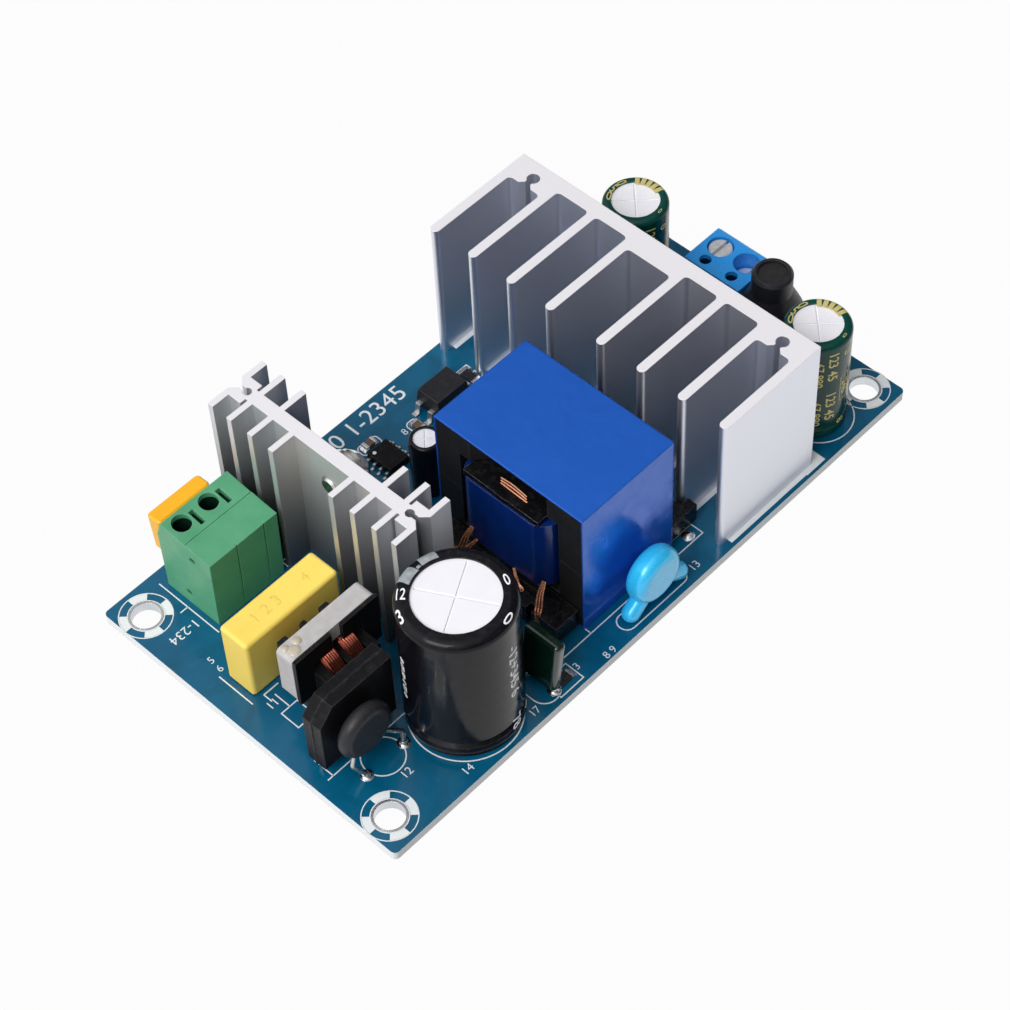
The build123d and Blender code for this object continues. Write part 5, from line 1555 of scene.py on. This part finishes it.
@dataclass
class ChipParts:
    """Tinned ends, solder and pads of the surface mounted parts."""

    nodes: tuple[str, ...] = ("chip_resistors", "chip_capacitors")
    cover: float = 0.03
    cap: float = 0.45
    flow: float = 0.45
    dot_inset: float = 0.8
    dot_radius: float = 0.3

    def caps(self) -> None:
        """Covers both ends of each chip part and flows solder to its pad."""
        metal = Shape()
        for node in self.nodes:
            for x, y, length, width, height, across in self._bodies(node):
                for side in (-1.0, 1.0):
                    self._end(metal, (x, y), (length, width, height), side, across)
        metal.piece("chip_ends", Finishes.solder, Slot.SOLDER)

    @staticmethod
    def _bodies(node: str, apart: float = 4.5) -> list[tuple[float, float, float, float, float, bool]]:
        """Finds each chip part of a node.

        Args:
            node: The CAD node.
            apart: Distance under which two corners belong to one part.

        Returns:
            Middle x and y, length, width, height, and whether it lies along Y.
        """
        bodies = []
        for group in grouped(corners_of(node), apart):
            low, high = (Vector(corner) for corner in extent(group))
            size = high - low
            middle = (low + high) / 2
            across = size.y > size.x
            bodies.append((middle.x, middle.y, max(size.x, size.y), min(size.x, size.y), size.z, across))
        return bodies

    def _end(self, metal: Shape, middle: Flat, size: Point, side: float, across: bool) -> None:
        """Adds one end cap with its fillet.

        Args:
            metal: The shape to add to.
            middle: The part's middle.
            size: Its length, width and height.
            side: Which end.
            across: Whether it lies along Y.
        """
        length, width, height = size
        half = width / 2 + self.cover
        outer = length / 2 + self.cover
        inner = length / 2 - self.cap
        top = DECK + height + self.cover
        foot = outer + self.flow
        profile = [(inner, top), (outer, top), (outer + 0.1, DECK + height * 0.5)]
        profile += [(foot, DECK + INK), (foot, DECK), (inner, DECK)]
        points = []
        for y in (-half, half):
            for x, z in profile:
                spot = (y, side * x) if across else (side * x, y)
                points.append((middle[0] + spot[0], middle[1] + spot[1], z))
        count = len(profile)
        faces = [tuple(range(count)), tuple(reversed(range(count, 2 * count)))]
        faces += [(i, count + i, count + (i + 1) % count, (i + 1) % count) for i in range(count)]
        metal.add(points, faces)

    def pin_mark(self) -> None:
        """Marks the first pin of the control chip."""
        chip = Place("control_chip")
        dot = Shape()
        spot = (chip.low.x + self.dot_inset, chip.high.y - self.dot_inset)
        top = chip.high.z + INK
        dot.lathe(spot, [(self.dot_radius, chip.high.z), (self.dot_radius, top), (0.0, top)], 20)
        dot.piece("control_chip_mark", Finishes.silk, Slot.BLACK)

    def build(self) -> None:
        """Builds every piece of the chip parts."""
        self.caps()
        self.pin_mark()


@dataclass
class TransformerDressing:
    """The lap of the tape band, the bobbin's rail ends and the winding's fine lead wires."""

    wire: float = 0.13
    spread: float = 0.3
    lean: float = 0.3
    pinch: Flat = (0.6, 0.8)
    leads: tuple[tuple[int, tuple[Point, ...]], ...] = (
        (3, (
            (-11.9, -3.6, 8.3), (-13.0, -3.3, 6.8), (-13.9, -3.1, 5.0), (-14.45, -2.2, 4.2),
            (-14.45, -1.7, 1.0),
        )),
        (2, (
            (-11.9, -4.45, 6.1), (-12.8, -3.9, 5.2), (-13.4, -3.58, 4.6), (-14.2, -2.7, 4.2),
            (-14.4, -1.9, 1.0),
        )),
        (2, (
            (-12.0, -11.5, 5.9), (-12.84, -12.93, 4.7), (-13.2, -14.1, 4.3), (-14.3, -13.4, 4.2),
            (-14.4, -13.1, 1.0),
        )),
        (3, (
            (-12.0, -17.3, 8.0), (-13.1, -17.5, 6.1), (-14.0, -18.05, 4.6), (-14.7, -18.5, 4.15),
            (-15.1, -18.7, 0.5),
        )),
        (1, ((-10.07, -7.9, 20.1), (-10.25, -10.5, 20.3), (-10.17, -12.9, 20.1))),
        (1, ((-9.75, -7.6, 20.1), (-9.8, -10.1, 20.35), (-9.85, -12.5, 20.1))),
        (1, ((-9.4, -7.3, 20.1), (-9.4, -9.6, 20.35), (-9.5, -12.2, 20.1))),
    )
    rails: tuple[tuple[Flat, Flat], ...] = (
        ((-14.9, -22.1), (-10.4, -20.45)),
        ((8.6, -22.1), (14.5, -20.45)),
    )
    rail_heights: Flat = (DECK + 0.6, DECK + 4.0)
    lap_margin: float = 0.3
    lap_sides: Flat = (-0.02, 0.08)
    lap_trim: Flat = (6.0, 3.0)

    @staticmethod
    def _curve(bends: Sequence[Point], parts: int = 6) -> list[Vector]:
        """Gives a smooth path through some points.

        Args:
            bends: The points.
            parts: Straight runs between two of them.

        Returns:
            The path's points.
        """
        knots = [Vector(bend) for bend in (bends[0], *bends, bends[-1])]
        path: list[Vector] = []
        for before, first, second, after in zip(knots, knots[1:], knots[2:], knots[3:]):
            for step in range(parts):
                share = step / parts
                bend = (2 * before - 5 * first + 4 * second - after) * share**2
                twist = (3 * first - before - 3 * second + after) * share**3
                path.append(0.5 * (2 * first + (second - before) * share + bend + twist))
        path.append(knots[-1])
        return path

    def wires(self) -> None:
        """Lays the fine strands from the winding to the rail, and those on the flange."""
        strands = Shape()
        for count, bends in self.leads:
            path = self._curve(bends)
            turns = [math.pi * step / (len(path) - 1) for step in range(len(path))]
            swell = [self.pinch[0] + self.pinch[1] * math.sin(turn) for turn in turns]
            for strand in range(count):
                side = (strand - (count - 1) / 2) * self.spread
                moved = [
                    (point.x - side * share * self.lean, point.y + side * share, point.z + DECK)
                    for point, share in zip(path, swell)
                ]
                strands.tube(moved, self.wire, 8)
        piece = strands.piece("transformer_strands", Finishes.fine_copper, Slot.COPPER, smooth=True)
        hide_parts("transformer_wires")

    def rail_ends(self) -> None:
        """Lengthens the bobbin's rails at the near end."""
        ends = Shape()
        for low, high in self.rails:
            ends.block((*low, self.rail_heights[0]), (*high, self.rail_heights[1]))
        ends.piece("bobbin_rail_ends", Finishes.moulding, Slot.BLACK)

    def lap(self) -> None:
        """Lays the end of the tape band over itself on the far side."""
        place = Place("transformer_tape")
        inner, outer = (place.high.y + side for side in self.lap_sides)
        lap = Shape()
        lap.block(
            (place.low.x + self.lap_margin, inner, place.low.z + self.lap_trim[0]),
            (place.high.x - self.lap_margin, outer, place.high.z - self.lap_trim[1]),
        )
        lap.piece("tape_lap", Finishes.tape, Slot.BLUE_TAPE)

    def build(self) -> None:
        """Builds the dressing."""
        self.lap()
        self.wires()
        self.rail_ends()


@dataclass
class Studio:
    """Camera, floor and soft light."""

    eye: Point = (-170.3185, -174.7883, 315.3564)
    right: Point = (0.68815643, -0.72474105, -0.0345128)
    down: Point = (-0.58812362, -0.52931507, -0.61150321)
    forward: Point = (0.42491333, 0.44110766, -0.7904889)
    focal_pixels: float = 2756.156
    photo_pixels: float = 1010.0
    sensor: float = 36.0
    clipping: Flat = (0.01, 20.0)
    floor_height: float = -1.3
    floor_half: float = 3.0
    floor_grey: float = 0.26
    floor_white: float = 0.97
    sky_aim: Point = (-0.6, 0.25, 0.76)
    sky_reach: Flat = (0.3, 0.95)
    sky_level: Flat = (0.14, 1.75)

    def camera(self) -> None:
        """Places the camera at the photograph's viewing angle."""
        data = bpy.data.cameras.new("photo_camera")
        data.sensor_width = self.sensor
        data.lens = self.focal_pixels / self.photo_pixels * self.sensor
        data.clip_start, data.clip_end = self.clipping
        camera = spawn("photo_camera", data)
        columns = (Vector(self.right), -Vector(self.down), -Vector(self.forward))
        turn = Matrix([[column[row] for column in columns] for row in range(3)])
        camera.matrix_world = Matrix.Translation(Vector(self.eye) * MM) @ turn.to_4x4()
        bpy.context.scene.camera = camera

    def floor(self) -> None:
        """Lays the pale floor, which shows white and keeps a faint shadow."""
        material = bpy.data.materials.new("floor_white")
        material.use_nodes = True
        sheet = Sheet(material.node_tree)
        material.node_tree.nodes.clear()
        path = sheet.add("ShaderNodeLightPath")
        seen = sheet.maths("MAXIMUM", path.outputs["Is Camera Ray"], path.outputs["Is Glossy Ray"])
        matt = sheet.add("ShaderNodeBsdfDiffuse")
        matt.inputs["Color"].default_value = (*[self.floor_grey] * 3, 1.0)
        white = sheet.add("ShaderNodeEmission")
        white.inputs["Strength"].default_value = 1.0
        share = sheet.maths("MULTIPLY", seen, self.floor_white)
        shown = sheet.blend(share, matt.outputs[0], white.outputs[0])
        sheet.fed("ShaderNodeOutputMaterial", (shown,))
        half = self.floor_half
        height = self.floor_height * MM
        corners = [(x * half, y * half, height) for x, y in ((-1, -1), (1, -1), (1, 1), (-1, 1))]
        mesh = bpy.data.meshes.new("floor")
        mesh.from_pydata(corners, [], [(0, 1, 2, 3)])
        mesh.materials.append(material)
        floor = spawn("floor", mesh)

    def world(self) -> None:
        """Lights all round with a pale sky that is dim on the far right, as a dark studio wall is."""
        world = bpy.data.worlds.new("studio")
        world.use_nodes = True
        bpy.context.scene.world = world
        sheet = Sheet(world.node_tree)
        world.node_tree.nodes.clear()
        way = sheet.read("ShaderNodeTexCoord", "Generated")
        aim = Vector(self.sky_aim).normalized()
        toward = sheet.vector("DOT_PRODUCT", way, tuple(aim)).outputs[1]
        level = sheet.between(toward, self.sky_reach, self.sky_level)
        light = sheet.add("ShaderNodeBackground")
        sheet.put(light.inputs["Strength"], level)
        backdrop = sheet.add("ShaderNodeBackground")
        backdrop.inputs["Strength"].default_value = 1.0
        seen = sheet.read("ShaderNodeLightPath", "Is Camera Ray")
        sheet.fed("ShaderNodeOutputWorld", (sheet.blend(seen, light.outputs[0], backdrop.outputs[0]),))

    def lamps(self) -> None:
        """Hangs the softboxes."""
        boxes = (
            ("key_softbox", (-0.9, -0.15, 1.0), 0.7, 8.5),
            ("near_softbox", (0.2, -1.0, 0.8), 0.7, 0.1),
        )
        for name, spot, size, power in boxes:
            data = bpy.data.lights.new(name, "AREA")
            data.size = size
            data.energy = power
            lamp = spawn(name, data)
            lamp.location = spot
            lamp.rotation_mode = "QUATERNION"
            lamp.rotation_quaternion = (-Vector(spot)).to_track_quat("-Z", "Y")

    def build(self) -> None:
        """Sets up the whole studio."""
        self.camera()
        self.floor()
        self.world()
        self.lamps()
        bpy.context.scene.view_settings.view_transform = "Standard"


def dress_nodes() -> None:
    """Gives every CAD node its finish."""
    for node, finish in Finishes.of_nodes().items():
        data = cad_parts[node].data
        data.materials.clear()
        data.materials.append(finish.material)
        log.info("dressed %s in %s", node, finish.name)


def main() -> None:
    """Builds the studio, dresses the frame and adds each sub-assembly."""
    logging.basicConfig(level=logging.INFO, format="%(message)s")
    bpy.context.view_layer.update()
    Studio().build()
    dress_nodes()
    for assembly in (
        CircuitBoard(),
        LineFilter(),
        TerminalShades(),
        RoundCapacitors(),
        ChipParts(),
        TransformerDressing(),
    ):
        assembly.build()
    bpy.context.view_layer.update()


if __name__ == "__main__":
    main()
